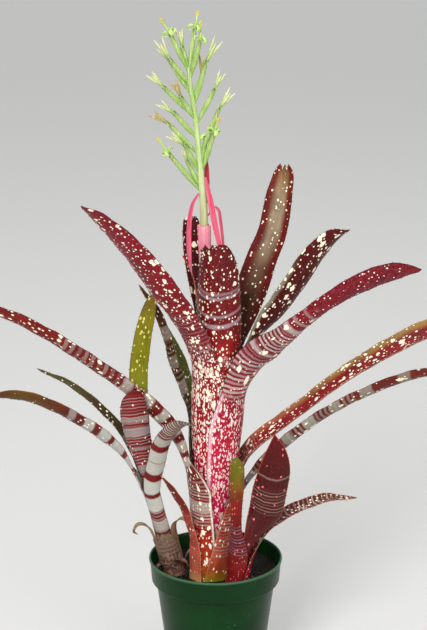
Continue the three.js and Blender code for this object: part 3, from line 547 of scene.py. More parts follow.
# sheath: its top, then azimuth and half angle at the foot and at the top, in degrees.
# blade: azimuth, reach, height, width and half angle of each row. All lengths are in mm.
mainLeaves = {
    "leaf_left_basal": {
        "layer": -1, "sheath": (22, (-44, 22), (-46, 20)), "twist": (-20, -20), "teethFrom": 1,
        "blade": [
            (-48, 24.5, 40, 12, 22), (-50, 31, 62, 11, 24), (-50, 39, 80, 10.5, 24), (-50, 52, 99, 9, 22),
            (-50, 66, 118, 2.5, 16),
        ],
        "look": {
            "outer": "0 c0b070, 18 c0644c, 55 ac463c, 90 7a3024, 137 402014",
            "inner": "0 c9c47a, 60 a84038, 137 5a4030", "dots": (0.2, 3, 1.5),
            "lines": [(2.6, 0.35, 18, 80, 0.35)], "bandTone": "d08a74", "streak": 0.3,
            "edge": ("c08068", 0.6),
        },
    },
    "leaf_right_low": {
        "layer": 0, "sheath": (76, (22, 46), (60, 32)), "twist": (42, 42),
        "blade": [
            (74, 32, 95, 26, 38), (78, 44, 113, 24, 42), (78, 68, 141, 21, 44), (78, 104, 174, 20, 44),
            (78, 143, 200, 20, 44), (78, 185, 221, 20, 42), (78, 225, 231, 15, 36),
            (78, 258, 230, 3.5, 24),
        ],
        "look": {
            "outer": "0 7a8018, 9 98902a, 20 b85c38, 34 b45440, 60 b04438, 90 b03c34, 115 6e2420, "
                     "180 5c2420, 260 6a3024, 330 6a3424, 383 7a5030",
            "inner": "0 a8a03c, 60 903a2c, 200 5a3a24, 383 7a5a2c", "spots": (0.15, 7, 1.6),
            "dots": (0.35, 3.6, 1.6), "lines": [(3.4, 0.4, 34, 80, 0.7), (5, 0.5, 100, 250, 0.5)],
            "bands": [
                (120, 5, 0.8), (146, 6, 0.85), (172, 5, 0.7), (199, 6, 0.8), (228, 5, 0.6), (262, 6, 0.6),
                (300, 5, 0.5),
            ],
            "bandTone": "98988a", "margin": ("d0806a", 2, 20, 90), "edge": ("5a2a20", 0.5),
        },
    },
    "leaf_left_long": {
        "layer": 1, "sheath": (96, (-42, 66), (-58, 50)), "twist": (-50, -50),
        "blade": [
            (-80, 31, 118, 36, 42), (-86, 40, 138, 33, 44), (-88, 58, 162, 28, 46), (-88, 88, 188, 25, 46),
            (-88, 125, 214, 24, 44), (-88, 164, 239, 22, 42), (-88, 202, 258, 19, 38),
            (-88, 238, 266, 13, 34), (-88, 265, 264, 3.5, 24),
        ],
        "look": {
            "outer": "0 a87a30, 25 b04a24, 60 9a2a1e, 110 6c1a18, 200 641c18, 300 72281c, 380 7a2c1c, "
                     "418 8a4428",
            "inner": "0 b08a38, 60 8a2c1c, 150 582a1c, 300 70402a, 418 7a5a30", "spots": (0.3, 5.5, 1.5),
            "dots": (0.5, 3.2, 1.6), "flecks": (0.55, 2.6, 2.4, 0, 60),
            "lines": [(3.4, 0.5, 64, 112, 0.75), (7.5, 0.5, 190, 300, 0.35)],
            "bands": [
                (84, 5, 0.6), (128, 4, 0.85), (144, 4, 0.7), (160, 4.5, 0.9), (177, 3.5, 0.8),
                (197, 4.5, 0.7), (222, 4, 0.7),
            ],
            "bandTone": "b8b0a4", "margin": ("f0dcc8", 3, 20, 120), "edge": ("4a1d18", 0.6),
        },
    },
    "leaf_right_long": {
        "layer": 2, "sheath": (92, (90, 70), (94, 50)), "twist": (-14, -14),
        "blade": [
            (95, 29.5, 115, 36, 48), (95, 38, 130, 32, 48), (95, 55, 146, 28, 50), (95, 87, 172, 27, 52),
            (95, 120, 199, 29, 52), (95, 160, 225, 33, 52), (95, 205, 249, 34, 48), (95, 240, 262, 25, 42),
            (95, 270, 269, 4, 30),
        ],
        "look": {
            "outer": "0 b07a40, 40 a04030, 100 942a28, 180 8c1e20, 300 781418, 416 802018",
            "inner": "0 b07a40, 100 953c30, 160 9c5a44, 250 8c7038, 330 9a7a44, 416 a08050",
            "core": "0 b07a40, 140 a07068, 260 7c7840, 416 988850",
            "half": (0.85, 0.45, "7c1418", 100, 440), "spots": (0.4, 5.5, 1.4), "dots": (0.55, 3, 1.5),
            "lines": [(3.4, 0.4, 96, 150, 0.4)], "bandTone": "b8a8a0", "edge": ("b07a58", 0.7),
        },
    },
    "leaf_left_green": {
        "layer": 3, "sheath": (128, (-142, 62), (-146, 34)), "twist": (0, 0),
        "blade": [
            (-148, 33, 157, 18, 32), (-148, 43, 170, 14, 32), (-148, 58, 186, 12, 32),
            (-148, 74, 204, 11, 32), (-148, 102, 228, 3, 20),
        ],
        "look": {
            "outer": "0 8a7a3c, 130 4a4e1c, 200 525624, 266 5e4c28",
            "inner": "0 8a7a3c, 140 3c4418, 266 505224", "glow": "8a8a3c", "shade": "14140a",
            "dots": (0.45, 3.2, 1.6), "lines": [(4, 0.35, 140, 180, 0.35)], "bandTone": "a0a090",
            "edge": ("7a7a3a", 0.8),
        },
    },
    "leaf_left_thin": {
        "layer": 4, "sheath": (136, (-102, 62), (-106, 36)), "twist": (25, 25),
        "blade": [
            (-108, 27.5, 160, 17, 34), (-110, 34.5, 183, 14, 34), (-112, 46, 208, 12, 34),
            (-114, 56, 236, 11, 32), (-115, 67, 257, 9, 30), (-115, 86, 280, 3, 20),
        ],
        "look": {
            "outer": "0 8a6a3c, 120 54201a, 200 5c241c, 260 58281c, 304 42241a",
            "inner": "0 8a6a3c, 140 36361c, 304 44361f", "dots": (0.45, 3.2, 1.6),
            "bands": [(196, 6, 0.55), (222, 5, 0.4), (250, 6, 0.45)], "lines": [(5, 0.4, 150, 260, 0.3)],
            "bandTone": "a89c90", "edge": ("5a5a30", 0.7),
        },
    },
    "leaf_right_arching": {
        "layer": 5, "sheath": (152, (45, 74), (50, 66)), "twist": (40, 62),
        "blade": [
            (52, 29, 190, 46, 58), (52, 37.5, 215, 43, 54), (52, 50, 235, 37, 50), (52, 70, 254, 26, 46),
            (52, 97, 280, 19, 44), (52, 126, 305, 19, 42), (52, 158, 327, 22, 40), (52, 190, 344, 19, 34),
            (52, 216, 352, 5, 26),
        ],
        "look": {
            "outer": "0 d0b070, 30 cc4450, 80 d01c54, 150 bc1440, 200 7c101a, 245 600c12, 300 74140f, "
                     "360 6a1010, 420 64140f, 455 6a241a",
            "inner": "0 c8b070, 150 701c24, 300 562418, 455 60381e", "glow": "e0406a",
            "spots": (0.15, 6, 1.4), "spotRange": (190, 320), "dots": (0.26, 2.8, 1.3),
            "flecks": (0.9, 2, 2.3, 20, 196), "fleckTone": "f8dcd6", "mottle": 0.75,
            "patches": (0.7, 6.5, 3, 34, 100),
            "lines": [(4.6, 0.5, 258, 288, 0.9), (4.4, 0.5, 196, 246, 0.85)],
            "bands": [(252, 1.6, 0.8), (294, 2.4, 0.85), (306, 1.2, 0.5), (320, 1.2, 0.4)],
            "bandTone": "b8a8a4", "margin": ("e8b4c0", 5, 60, 196), "edge": ("4a1418", 0.6),
        },
    },
    "leaf_left_spotted": {
        "layer": 6, "sheath": (180, (-30, 72), (-40, 66)), "twist": (-24, -24),
        "blade": [
            (-45, 27, 218, 45, 54), (-50, 40, 252, 40, 46), (-52, 65, 288, 38, 42), (-52, 95, 327, 34, 38),
            (-52, 127, 361, 26, 34), (-52, 148, 380, 15, 30), (-52, 160, 389, 3.5, 24),
        ],
        "look": {
            "outer": "0 c8a860, 40 b02c34, 110 b41c40, 180 a0162e, 240 780e1a, 320 7c1228, 390 841830, "
                     "447 741420",
            "inner": "0 c8a860, 150 64141f, 300 461c14, 447 54241a", "glow": "a02a50",
            "spots": (0.8, 7.5, 1.15), "clumped": True, "spotRange": (200, 460), "dots": (0.5, 3.4, 1.2),
            "flecks": (0.95, 2, 2.2, 20, 240), "fleckTone": "f6e0d2", "mottle": 0.7,
            "patches": (0.3, 5, 2, 150, 225), "lines": [(4, 0.3, 236, 290, 0.4)], "bandTone": "9a8a90",
            "margin": ("e8c0b8", 2.4, 20, 180), "edge": ("4a1018", 0.6),
        },
    },
    "bract_olive": {
        "layer": 9, "sheath": (205, (-64, 20), (-66, 18)), "twist": (0, 0), "teethFrom": 1,
        "blade": [
            (-70, 20.8, 236, 11, 24), (-77, 22.2, 268, 10, 24), (-84, 27, 300, 8, 22),
            (-86, 37, 321, 1.5, 14),
        ],
        "look": {
            "outer": "0 b0a060, 200 8a6a24, 270 96842c, 300 9a5a24, 333 a8241c",
            "inner": "0 b0a060, 333 a06030", "glow": "b0a040", "dots": (0.2, 3, 1.5), "streak": 0.3,
            "edge": ("c01f24", 1),
        },
    },
    "leaf_right_spotted": {
        "layer": 7, "sheath": (194, (75, 70), (77, 54)), "twist": (40, 40),
        "blade": [
            (78, 29, 229, 28, 47), (80, 40, 248, 31, 52), (82, 51, 263, 35, 56), (82, 64, 281, 38, 58),
            (82, 78, 305, 39, 52), (82, 91, 329, 36, 46), (82, 105, 347, 25, 38), (82, 117, 355, 4, 28),
        ],
        "look": {
            "outer": "0 c0a060, 60 942430, 180 68121a, 240 4c0a12, 320 480c0e, 394 541410",
            "inner": "0 c0a060, 150 642c24, 220 7a7c64, 300 868a70, 394 6a5a40",
            "half": (-0.72, -0.9, "7c8068", 215, 330), "spots": (0.36, 6, 1.5), "dots": (0.45, 3, 1.4),
            "flecks": (0.8, 2.6, 2.2, 40, 235), "bandTone": "a8a8a0", "edge": ("9a9c8c", 0.5),
        },
    },
    "leaf_front_centre": {
        "layer": 8, "sheath": (190, (0, 70), (2, 70)), "twist": (0, 0), "tip": "torn",
        "blade": [
            (1, 24, 225, 52, 70), (-3, 27, 258, 55, 74), (-8, 30, 288, 54, 74), (-11, 32, 315, 47, 68),
            (-17, 33.5, 333, 34, 58), (-21, 34.5, 341, 25, 48),
        ],
        "look": {
            "outer": "0 c8a860, 60 a82834, 150 982420, 215 98301e, 250 8c1c18, 268 741018, 300 680c16, "
                     "351 5c0a12",
            "inner": "0 c8a860, 150 701c1c, 351 4a1012", "glow": "c04050", "spots": (0.5, 5.6, 1.35),
            "clumped": True, "dots": (0.55, 3.3, 1.3), "flecks": (0.7, 2.4, 2.2, 60, 232),
            "bands": [
                (269, 1.5, 0.85), (279, 1.1, 0.65), (297, 0.9, 0.7), (301, 0.7, 0.5), (233, 0.6, 0.6),
            ],
            "bandTone": "a48c96", "smile": 5.5, "edge": ("3a0d14", 0.5),
        },
    },
    "leaf_back_right_tall": {
        "layer": 9, "sheath": (190, (130, 70), (144, 54)), "twist": (-25, -25), "tip": "torn",
        "blade": [
            (148, 26.5, 224, 27, 44), (144, 37, 252, 32, 42), (140, 47.5, 280, 34, 40),
            (138, 59, 308, 32, 38), (136, 70, 333, 30, 34), (135, 75, 364, 28, 32), (135, 80, 388, 21, 30),
            (135, 80, 399, 13, 24),
        ],
        "look": {
            "outer": "0 b0a060, 180 5a1c18, 300 5c2a1e, 418 6a3a28",
            "inner": "0 b0a060, 150 5a2a1c, 250 4e2414, 330 641e14, 418 6a321e",
            "core": "0 b0a060, 200 3a3420, 270 4a3018, 315 5e4428, 350 98886c, 378 a09074, 400 86704c, "
                    "418 7a5430",
            "dots": (0.42, 3.6, 1.2), "bandTone": "a09c8c", "edge": ("4a2018", 0.5),
        },
    },
    "leaf_back_dark": {
        "layer": 10, "sheath": (205, (-130, 58), (-134, 54)), "twist": (30, 30), "tip": "blunt",
        "blade": [
            (-138, 22, 245, 29, 48), (-136, 30, 280, 24, 44), (-135, 37, 310, 22, 40),
            (-135, 42, 335, 20, 36), (-135, 44, 350, 15, 30),
        ],
        "look": {
            "outer": "0 b0a060, 180 4a1014, 361 360c0e", "inner": "0 b0a060, 180 4a1414, 361 420e0e",
            "spots": (0.35, 6, 1.3), "dots": (0.65, 3, 1.3), "edge": ("6a3a34", 0.8),
        },
    },
}


leftPupLeaves = {
    "left_pup_dry_sheath_left": {
        "layer": -1, "sheath": (22, (-66, 44), (-66, 38)), "twist": (0, 0), "tip": "torn", "teethFrom": 1,
        "blade": [
            (-66, 12.4, 40, 12, 28), (-70, 16, 53, 10, 34), (-74, 22, 57, 8, 34), (-76, 26, 55.5, 7.5, 34),
            (-76, 28, 51, 6.5, 34), (-75, 25.5, 48, 5, 34),
        ],
        "look": {
            "outer": "0 5a3c28, 30 7a5c40, 69 a08c6c", "inner": "0 5a3c28, 69 907a58", "glow": "b09a78",
            "shade": "20140c", "streak": 1, "dull": True, "edge": ("5a3c28", 0.5),
        },
    },
    "left_pup_dry_sheath_right": {
        "layer": -1, "sheath": (22, (54, 44), (52, 36)), "twist": (0, 0), "tip": "torn", "teethFrom": 1,
        "blade": [
            (52, 12.4, 38, 11, 26), (55, 16.5, 52, 9, 34), (62, 22.5, 56, 7, 34), (64, 26, 54.5, 6.5, 34),
            (65, 27.5, 50, 5, 34),
        ],
        "look": {
            "outer": "0 5a3024, 30 7a4834, 68 96745a", "inner": "0 5a3c28, 69 907a58", "glow": "b09a78",
            "shade": "20140c", "streak": 1, "dull": True, "edge": ("5a3c28", 0.5),
        },
    },
    "left_pup_leaf_curled": {
        "layer": 0, "sheath": (68, (-8, 60), (-10, 46)), "twist": (20, 45),
        "blade": [
            (-5, 12.5, 90, 17, 42), (14, 15, 104, 19, 42), (31, 20, 118, 19, 40), (40, 30, 136, 19, 38),
            (45, 44, 151, 18, 36), (48, 60, 160, 16, 34), (50, 77, 160, 6, 30),
        ],
        "look": {
            "outer": "0 7a4a38, 40 6a3c2c, 75 6e2a24, 150 702c24, 207 645044",
            "inner": "0 7a4a38, 100 5a2c20, 207 645044",
            "bands": [
                (60.5, 5, 0.6), (83, 6.5, 0.97), (102, 6.5, 1), (123.5, 5.5, 0.95), (136.5, 6, 0.97),
                (155.5, 4, 0.8),
            ],
            "lines": [(2.8, 0.5, 162, 204, 0.85), (3.4, 0.4, 40, 80, 0.4)], "bandTone": "b4b4aa",
            "smile": 3, "edge": ("5a2c24", 0.6),
        },
    },
    "left_pup_leaf_arching": {
        "layer": 1, "sheath": (70, (-84, 62), (-87, 48)), "twist": (-62, -56),
        "blade": [
            (-94, 13.2, 98, 17, 40), (-94, 21, 124, 18, 40), (-92, 33, 147, 18, 40),
            (-91, 57, 174, 18, 38), (-90, 87, 200, 17, 34), (-90, 112, 212, 14, 28),
            (-90, 131, 214, 4, 20),
        ],
        "look": {
            "outer": "0 7a3a30, 80 74242c, 150 681c20, 200 58281c, 240 5c4820, 282 5a4a24",
            "inner": "0 7a3a30, 150 562024, 282 5a5028", "dots": (0.2, 3.4, 1.3),
            "bands": [
                (92, 4, 0.8), (108, 5, 0.95), (128, 5.5, 0.97), (146, 6, 0.97), (163, 5, 0.95),
                (181, 4.5, 0.9), (200, 3, 0.5),
            ],
            "lines": [(3, 0.4, 70, 120, 0.35)], "bandTone": "acaaa4", "edge": ("8a5a34", 0.6),
        },
    },
    "left_pup_leaf_dark": {
        "layer": 2, "sheath": (84, (-112, 60), (-114, 48)), "twist": (15, 15),
        "blade": [
            (-115, 12, 118, 14, 42), (-115, 19, 148, 12, 40), (-115, 36, 175, 10, 38),
            (-115, 62, 201, 8, 34), (-115, 95, 220, 2.5, 18),
        ],
        "look": {
            "outer": "0 7a5a40, 100 4a2018, 180 44281a, 264 4c3a20",
            "inner": "0 7a5a40, 140 363418, 264 44401f", "glow": "8a6a34", "dots": (0.4, 3.4, 1.4),
            "bands": [(120, 4, 0.4), (150, 4, 0.35)], "bandTone": "9a9088", "edge": ("5a4a1c", 0.6),
        },
    },
    "left_pup_leaf_front": {
        "layer": 3, "sheath": (90, (-8, 62), (-8, 58)), "twist": (0, 0), "tip": "blunt",
        "blade": [
            (-8, 11, 116, 20, 54), (-6, 14, 135, 26, 52), (0, 19, 157, 29, 50), (8, 23, 176, 29, 48),
            (15, 26, 190, 23, 44), (19, 27.5, 198, 11, 36),
        ],
        "look": {
            "outer": "0 7a3a34, 80 7c2a2c, 140 781a20, 209 781c20", "inner": "0 7a3a34, 209 6a2024",
            "dots": (0.1, 3, 1.3),
            "bands": [(104, 3, 0.6), (122, 4, 0.7), (145, 1.2, 0.6), (164, 4.5, 0.8), (178, 2.5, 0.65)],
            "lines": [(3.4, 0.34, 96, 203, 0.7)], "bandTone": "9a8f8a", "smile": -2.5,
            "edge": ("5a2024", 0.6),
        },
    },
    "left_pup_leaf_olive": {
        "layer": 4, "sheath": (112, (150, 62), (150, 58)), "twist": (-10, -60),
        "blade": [
            (150, 10.5, 146, 18, 48), (148, 14, 172, 20, 44), (136, 20, 205, 20, 40),
            (119, 30, 237, 19, 38), (113, 40, 260, 15, 36), (111, 49, 276, 6, 26),
        ],
        "look": {
            "outer": "0 7a6a3c, 110 7a6a24, 200 7c7c18, 260 80761c, 292 6a5028",
            "inner": "0 7a6a3c, 130 6a6c18, 180 8c8c3c, 225 7c7c18, 265 7c741c, 292 6c4c2a",
            "glow": "b0a040", "shade": "3a3a0c", "dots": (0.6, 4, 1.5), "dotTone": "d8cf6a",
            "lines": [(4, 0.35, 110, 160, 0.3)], "bandTone": "b0aa80", "edge": ("6a4a24", 0.7),
        },
    },
}


rightPupLeaves = {
    "right_pup_leaf_outer": {
        "layer": 0, "sheath": (22, (84, 60), (88, 46)), "twist": (-18, -18),
        "blade": [
            (98, 16.5, 42, 15, 38), (110, 26, 58, 15, 38), (114, 42, 70, 15, 36), (115, 65, 79, 15, 34),
            (115, 89, 84, 13, 32), (115, 122, 82, 3.5, 20),
        ],
        "look": {
            "outer": "0 b03a40, 30 a82c44, 50 742a24, 100 4c2018, 173 5c3020",
            "inner": "0 b03a40, 50 602c24, 110 54281a, 173 6a4024", "dots": (0.45, 3, 1.3),
            "lines": [(5, 0.34, 50, 168, 0.75)], "bandTone": "a89c90", "hole": (0, 62, 2.6),
            "edge": ("a8604a", 0.5),
        },
    },
    "right_pup_leaf_front": {
        "layer": 1, "sheath": (26, (-14, 68), (-16, 62)), "twist": (-30, -30),
        "blade": [
            (-20, 12.8, 44, 20, 50), (-28, 14.4, 62, 12, 44), (-32, 16.5, 82, 12, 44),
            (-37, 19.5, 110, 16, 44), (-39, 21.5, 128, 15, 42), (-40, 22.5, 139, 8, 36),
        ],
        "look": {
            "outer": "0 843034, 35 742a2a, 58 561418, 78 6a1a14, 98 802c10, 112 7a4c12, 124 6a6414, "
                     "148 6c7a20",
            "inner": "0 983848, 80 6a1a14, 148 6c7a20", "dots": (0.22, 2.4, 1.3), "dotTone": "d87c6c",
            "lines": [(3.2, 0.3, 44, 74, 0.55)], "bandTone": "907488", "edge": ("5a2020", 0.4),
        },
    },
    "right_pup_leaf_broad": {
        "layer": 2, "sheath": (22, (50, 62), (54, 60)), "twist": (74, 74),
        "blade": [
            (58, 11, 40, 20, 54), (66, 15, 57, 26, 50), (75, 20, 78, 35, 48), (80, 22.5, 100, 37, 45),
            (80, 24.5, 122, 33, 42), (77, 23.5, 141, 22, 38), (72, 20, 161, 3.5, 28),
        ],
        "look": {
            "outer": "0 8a3a2c, 45 561c14, 80 42150f, 130 460c0c, 171 5a100f",
            "inner": "0 8a3a2c, 171 4a1810", "dots": (0.14, 3.8, 1.1), "dotTone": "d86a70", "smile": 4,
            "lines": [(3.1, 0.36, 88, 111, 0.75)], "bands": [(124, 0.7, 0.7)], "bandTone": "8a7468",
            "edge": ("a83a18", 0.9),
        },
    },
}


rimPaths = []  # blade margins, and which way is outwards along them, for the teeth


def pieceName(node):
    first, *others = node.split("_")
    return first + "".join(word.capitalize() for word in others)


leafSlots = {
    "bract_olive": "leaf_olive", "leaf_left_green": "leaf_olive", "left_pup_leaf_olive": "leaf_olive",
    "left_pup_leaf_dark": "leaf_olive", "leaf_back_right_tall": "leaf_olive",
    "left_pup_dry_sheath_left": "leaf_dry", "left_pup_dry_sheath_right": "leaf_dry",
}
scraps = {  # papery remains round the left pup's foot
    "scrapFront": {
        "layer": -2, "sheath": (8, (16, 30), (18, 26)), "twist": (10, 40), "tip": "torn", "teethFrom": 1,
        "blade": [(22, 15.5, 13, 9, 30), (30, 20, 17, 8, 36), (36, 25, 15, 6, 38), (38, 27, 10, 4, 34)],
    },
    "scrapLeft": {
        "layer": -2, "sheath": (6, (-24, 32), (-28, 28)), "twist": (-10, -30), "tip": "torn",
        "teethFrom": 1, "blade": [(-32, 15.5, 12, 9, 32), (-38, 19, 15, 8, 36), (-44, 22.5, 12, 6, 38)],
    },
    "scrapRight": {
        "layer": -2, "sheath": (7, (88, 28), (90, 24)), "twist": (0, 30), "tip": "torn", "teethFrom": 1,
        "blade": [(92, 15.5, 13, 8, 30), (98, 20, 16, 7, 34), (102, 25, 13, 5, 36), (104, 28, 8, 3, 30)],
    },
    "scrapWrap": {
        "layer": -1.5, "sheath": (30, (-6, 74), (-8, 66)), "twist": (0, 0), "tip": "torn", "teethFrom": 1,
        "blade": [(-10, 14.5, 40, 24, 50), (-12, 15.5, 48, 17, 44)],
    },
}
scrapLook = {
    "outer": "0 4a2018, 20 623428, 30 5a4034, 48 6e5a4c", "inner": "0 4a2018, 44 745440", "glow": "a88878",
    "shade": "180a08", "streak": 0.5, "mottle": 0.8, "dull": True, "edge": ("3a1c14", 0.5),
    "flecks": (0.5, 4.0, 1.4, 0, 60), "fleckTone": "7e6a5c", "lines": [(4.6, 0.3, 6, 44, 0.4)],
    "bandTone": "94867c",
}
seed = 40
for name, scrap in scraps.items():
    seed += 1
    finishPiece(growLeaf(name, shoots["leftPup"], dict(scrap, look=scrapLook), seed * 1.7), "leaf_dry")
seed = 0
for shootName, leaves in (("main", mainLeaves), ("leftPup", leftPupLeaves), ("rightPup", rightPupLeaves)):
    for node, leaf in leaves.items():
        seed += 1
        grown = growLeaf(pieceName(node), shoots[shootName], leaf, seed * 1.7)
        finishPiece(grown, leafSlots.get(node, "leaf_red"), node)
    print("leaves grown:", shootName, len(leaves))


bractCut = {"spacing": 1.6, "across": 8, "bend": 22, "thickness": 0.8}
bractLook = {
    "pink": {"outer": "0 c9506a, 0.2 e03a5e, 0.8 e8486c, 1 d97a86", "pale": "f6a3b4", "dark": "b01f48"},
    "ring": {"outer": "0 d4607c, 0.4 e4708c, 1 f090a0", "pale": "f8d0d4", "dark": "c84468"},
    "dark": {"outer": "0 8a1c28, 0.5 b81430, 1 a8101c", "pale": "d8384c", "dark": "4a0c14"},
}


def bractMaterial(name, look):
    s = Shading(name)
    across, along, side = s.split(s.attribute("leafPlace"))
    middle, share, margin = s.split(s.attribute("leafShare"))
    colour = s.ramp(share, tones(look["outer"]))
    streak = s.noise(s.join(s.times(across, 1.5), s.times(along, 0.03), 1.0), 1.0, 2.0)
    colour = s.paint(colour, look["pale"], s.ease(streak, 0.4, 0.7, 0.0, 0.55))
    colour = s.paint(colour, look["dark"], s.ease(s.calc("ABSOLUTE", middle), 0.25, 0.0, 0.0, 0.4))
    soft = s.noise(s.join(across, s.times(along, 0.3), 4.0), 0.6, 2.0)
    colour = s.paint(colour, look["dark"], s.ease(soft, 0.3, 0.75, 0.0, 0.3))
    return s.finish(Base_Color=colour, Roughness=s.ease(soft, 0.2, 0.8, 0.38, 0.55),
                    Normal=s.bump(streak, 0.3, 0.0003))


def growBract(name, bract, look):
    table = np.array(bract["rows"], float)
    count = len(table)
    rows = {
        "point": table[:, :3],
        "azimuth": np.full(count, float(bract["azimuth"])),
        "halfAngle": np.full(count, float(bractCut["bend"])),
        "width": table[:, 3],
        "twist": np.zeros(count),
        "open": np.ones(count),
    }
    u, along = evenSteps(rows["point"], bractCut["spacing"])
    shares = np.linspace(-1, 1, bractCut["across"] + 1)
    toRim = np.abs(shares)[None, :]
    lift = 0.25 * np.sin(along / 9)[:, None] * toRim
    cut = np.clip((along[-1] - along) / 5, 0.25, 1) ** 0.5
    thickness = bractCut["thickness"] * (1 - 0.55 * toRim**2)
    grids = [leafSection(rows, u, shares, depth, cut, lift)[0] for depth in (0 * thickness, thickness)]
    world = np.concatenate([inShoot(shoots["main"], grid).reshape(-1, 3) for grid in grids])
    made = meshObject(name, world, stripFaces(len(u), len(shares)))
    markLeaf(made, smoothRow(rows["width"], u) / 2 * cut, shares, along)
    made.data.materials.append(bractMaterial(name + "Finish", look))
    return made


bracts = {
    "bract_pink_left": {
        "azimuth": 125,
        "rows": [
            (-24.1, -2.6, 381, 3), (-29.5, -5, 371, 5.5), (-32.5, -7, 350, 7.5), (-31.5, -8.5, 325, 7.5),
            (-27.5, -9, 304, 1.5),
        ],
    },
    "bract_pink_right": {
        "azimuth": -150,
        "rows": [
            (-18.2, -1.5, 396, 3), (-12.6, -4, 374, 6.2), (-7.5, -4.5, 352, 6), (-2.5, -5, 331, 5),
            (0.5, -5, 318, 2),
        ],
    },
    "bract_pink_curled": {
        "azimuth": -120,
        "rows": [
            (-14.8, 2.4, 359, 3), (-10, 4.2, 367, 4), (-5.5, 4.6, 365, 5), (-2, 4.6, 352, 5.5),
            (1, 4.4, 333, 4.5), (2, 4, 320, 2),
        ],
    },
    "bract_dark_back": {
        "azimuth": 180,
        "rows": [(-18, 4.8, 366, 4), (-16.6, 5.6, 382, 5), (-17.4, 6.8, 402, 4.5), (-19.6, 7.4, 421, 1.5)],
    },
}
for name, bract in bracts.items():
    tone = "dark" if "dark" in name else "pink"
    piece = growBract(name.replace("_", "") + "Blade", bract, bractLook[tone])
    finishPiece(piece, "leaf_red" if tone == "dark" else "bract_pink", name)


def strandGrid(points, radii, sides, spacing, least=6, flat=None):
    # Rings of points along a path: round, or flat and turned broadside on to a given way.
    u, along = evenSteps(np.asarray(points, float), spacing, least)
    centre = spinePoint(points, u)
    tangent = spineTangent(points, u)
    across = np.array([0.0, 1.0, 0.0]) if abs(tangent[0][1]) < 0.9 else np.array([1.0, 0.0, 0.0])
    normals = []
    for direction in tangent:
        across = across - direction * np.dot(across, direction)
        across = across / np.linalg.norm(across)
        normals.append(across)
    normals = np.array(normals)
    binormals = np.cross(tangent, normals)
    wide, thin = 1.0, 1.0
    if flat is not None:
        broadside, wide, thin = flat
        binormals = np.broadcast_to(unit(np.asarray(broadside, float)), tangent.shape)
        normals = unit(np.cross(binormals, tangent))
    turn = np.linspace(0, 2 * math.pi, sides, endpoint=False)[None, :, None]
    ring = normals[:, None] * (thin * np.cos(turn)) + binormals[:, None] * (wide * np.sin(turn))
    return centre[:, None] + ring * smoothRow(radii, u)[:, None, None], u


def tubeFaces(rows, sides, first):
    rings = ringsOf(rows, sides, first)
    return [tuple(rings[0][::-1]), *ringFaces(rings), tuple(rings[-1])]


class Bundle:
    # Collects many small bodies that become one piece, with a mark for what each one is.
    def __init__(self):
        self.points, self.faces, self.marks, self.count = [], [], [], 0

    def tube(self, points, radii, sides, spacing, kind, drawn=0.0, least=6, flat=None):
        grid, u = strandGrid(points, radii, sides, spacing, least, flat)
        self.faces += tubeFaces(len(u), sides, self.count)
        marks = np.broadcast_arrays(np.repeat(u, sides), kinds[kind], drawn)
        self.points.append(grid.reshape(-1, 3))
        self.marks.append(np.stack(marks, axis=-1))
        self.count += u.size * sides

    def piece(self, name, place):
        made = meshObject(name, place(np.concatenate(self.points)), self.faces)
        pointVectors(made, "part", np.concatenate(self.marks))
        return made


spike = {
    "stemSides": 20,
    "stem": [(0, -8, 5.2), (0, 60, 5.2), (-3, 150, 5), (-10, 250, 4.5), (-17, 333, 3.8), (-19.5, 374, 3.5),
             (-23, 402, 3), (-29, 449, 2.5), (-34, 476, 2.1), (-37, 497, 1.8)],
    # height on the stem, azimuth, mouth and tip of the floret (reach, height), open or closed
    "florets": [
        (494, 57, (5, 533), (8, 548), True),
        (485, 70, (9, 523), (9, 539), True),
        (492, -75, (19, 528), (28, 541), True),
        (493, -121, (8, 514), (12, 532), False),
        (480, -73, (20, 504), (33, 524), False),
        (471, -100, (23, 504), (32, 512), False),
        (460, 73, (10, 502), (21, 526), False),
        (466, 113, (8, 488), (10, 508), False),
        (451, -91, (30, 478), (43, 491), False),
        (448, -63, (16, 471), (24, 487), False),
        (444, 94, (16, 478), (23, 494), False),
        (413, 103, (17, 460), (29, 477), False),
        (431, -80, (23, 456), (38, 465), False),
        (416, -96, (29, 444), (45, 454), False),
        (397, -70, (17, 427), (33, 438), False),
        (380, -85, (33, 418), (43, 431), True),
        (382, -105, (16, 410), (20, 422), False),
        (398, 66, (12, 439), (16, 452), True),
        (402, 126, (5, 432), (8, 441), True),
    ],
    "coilRadius": 3.0, "wilted": (7, 9, 13),
}
kinds = {"stem": 0.0, "calyx": 0.2, "petals": 0.4, "coil": 0.6, "anther": 0.8, "stigma": 1.0}


def stemCentre(height):
    table = np.array(spike["stem"], float)
    return np.array([np.interp(height, table[:, 1], table[:, 0]), 0.0, height])


def floretAt(base, azimuth, place):
    return polar(azimuth, place[0], place[1]) + np.array([base[0], 0, 0])


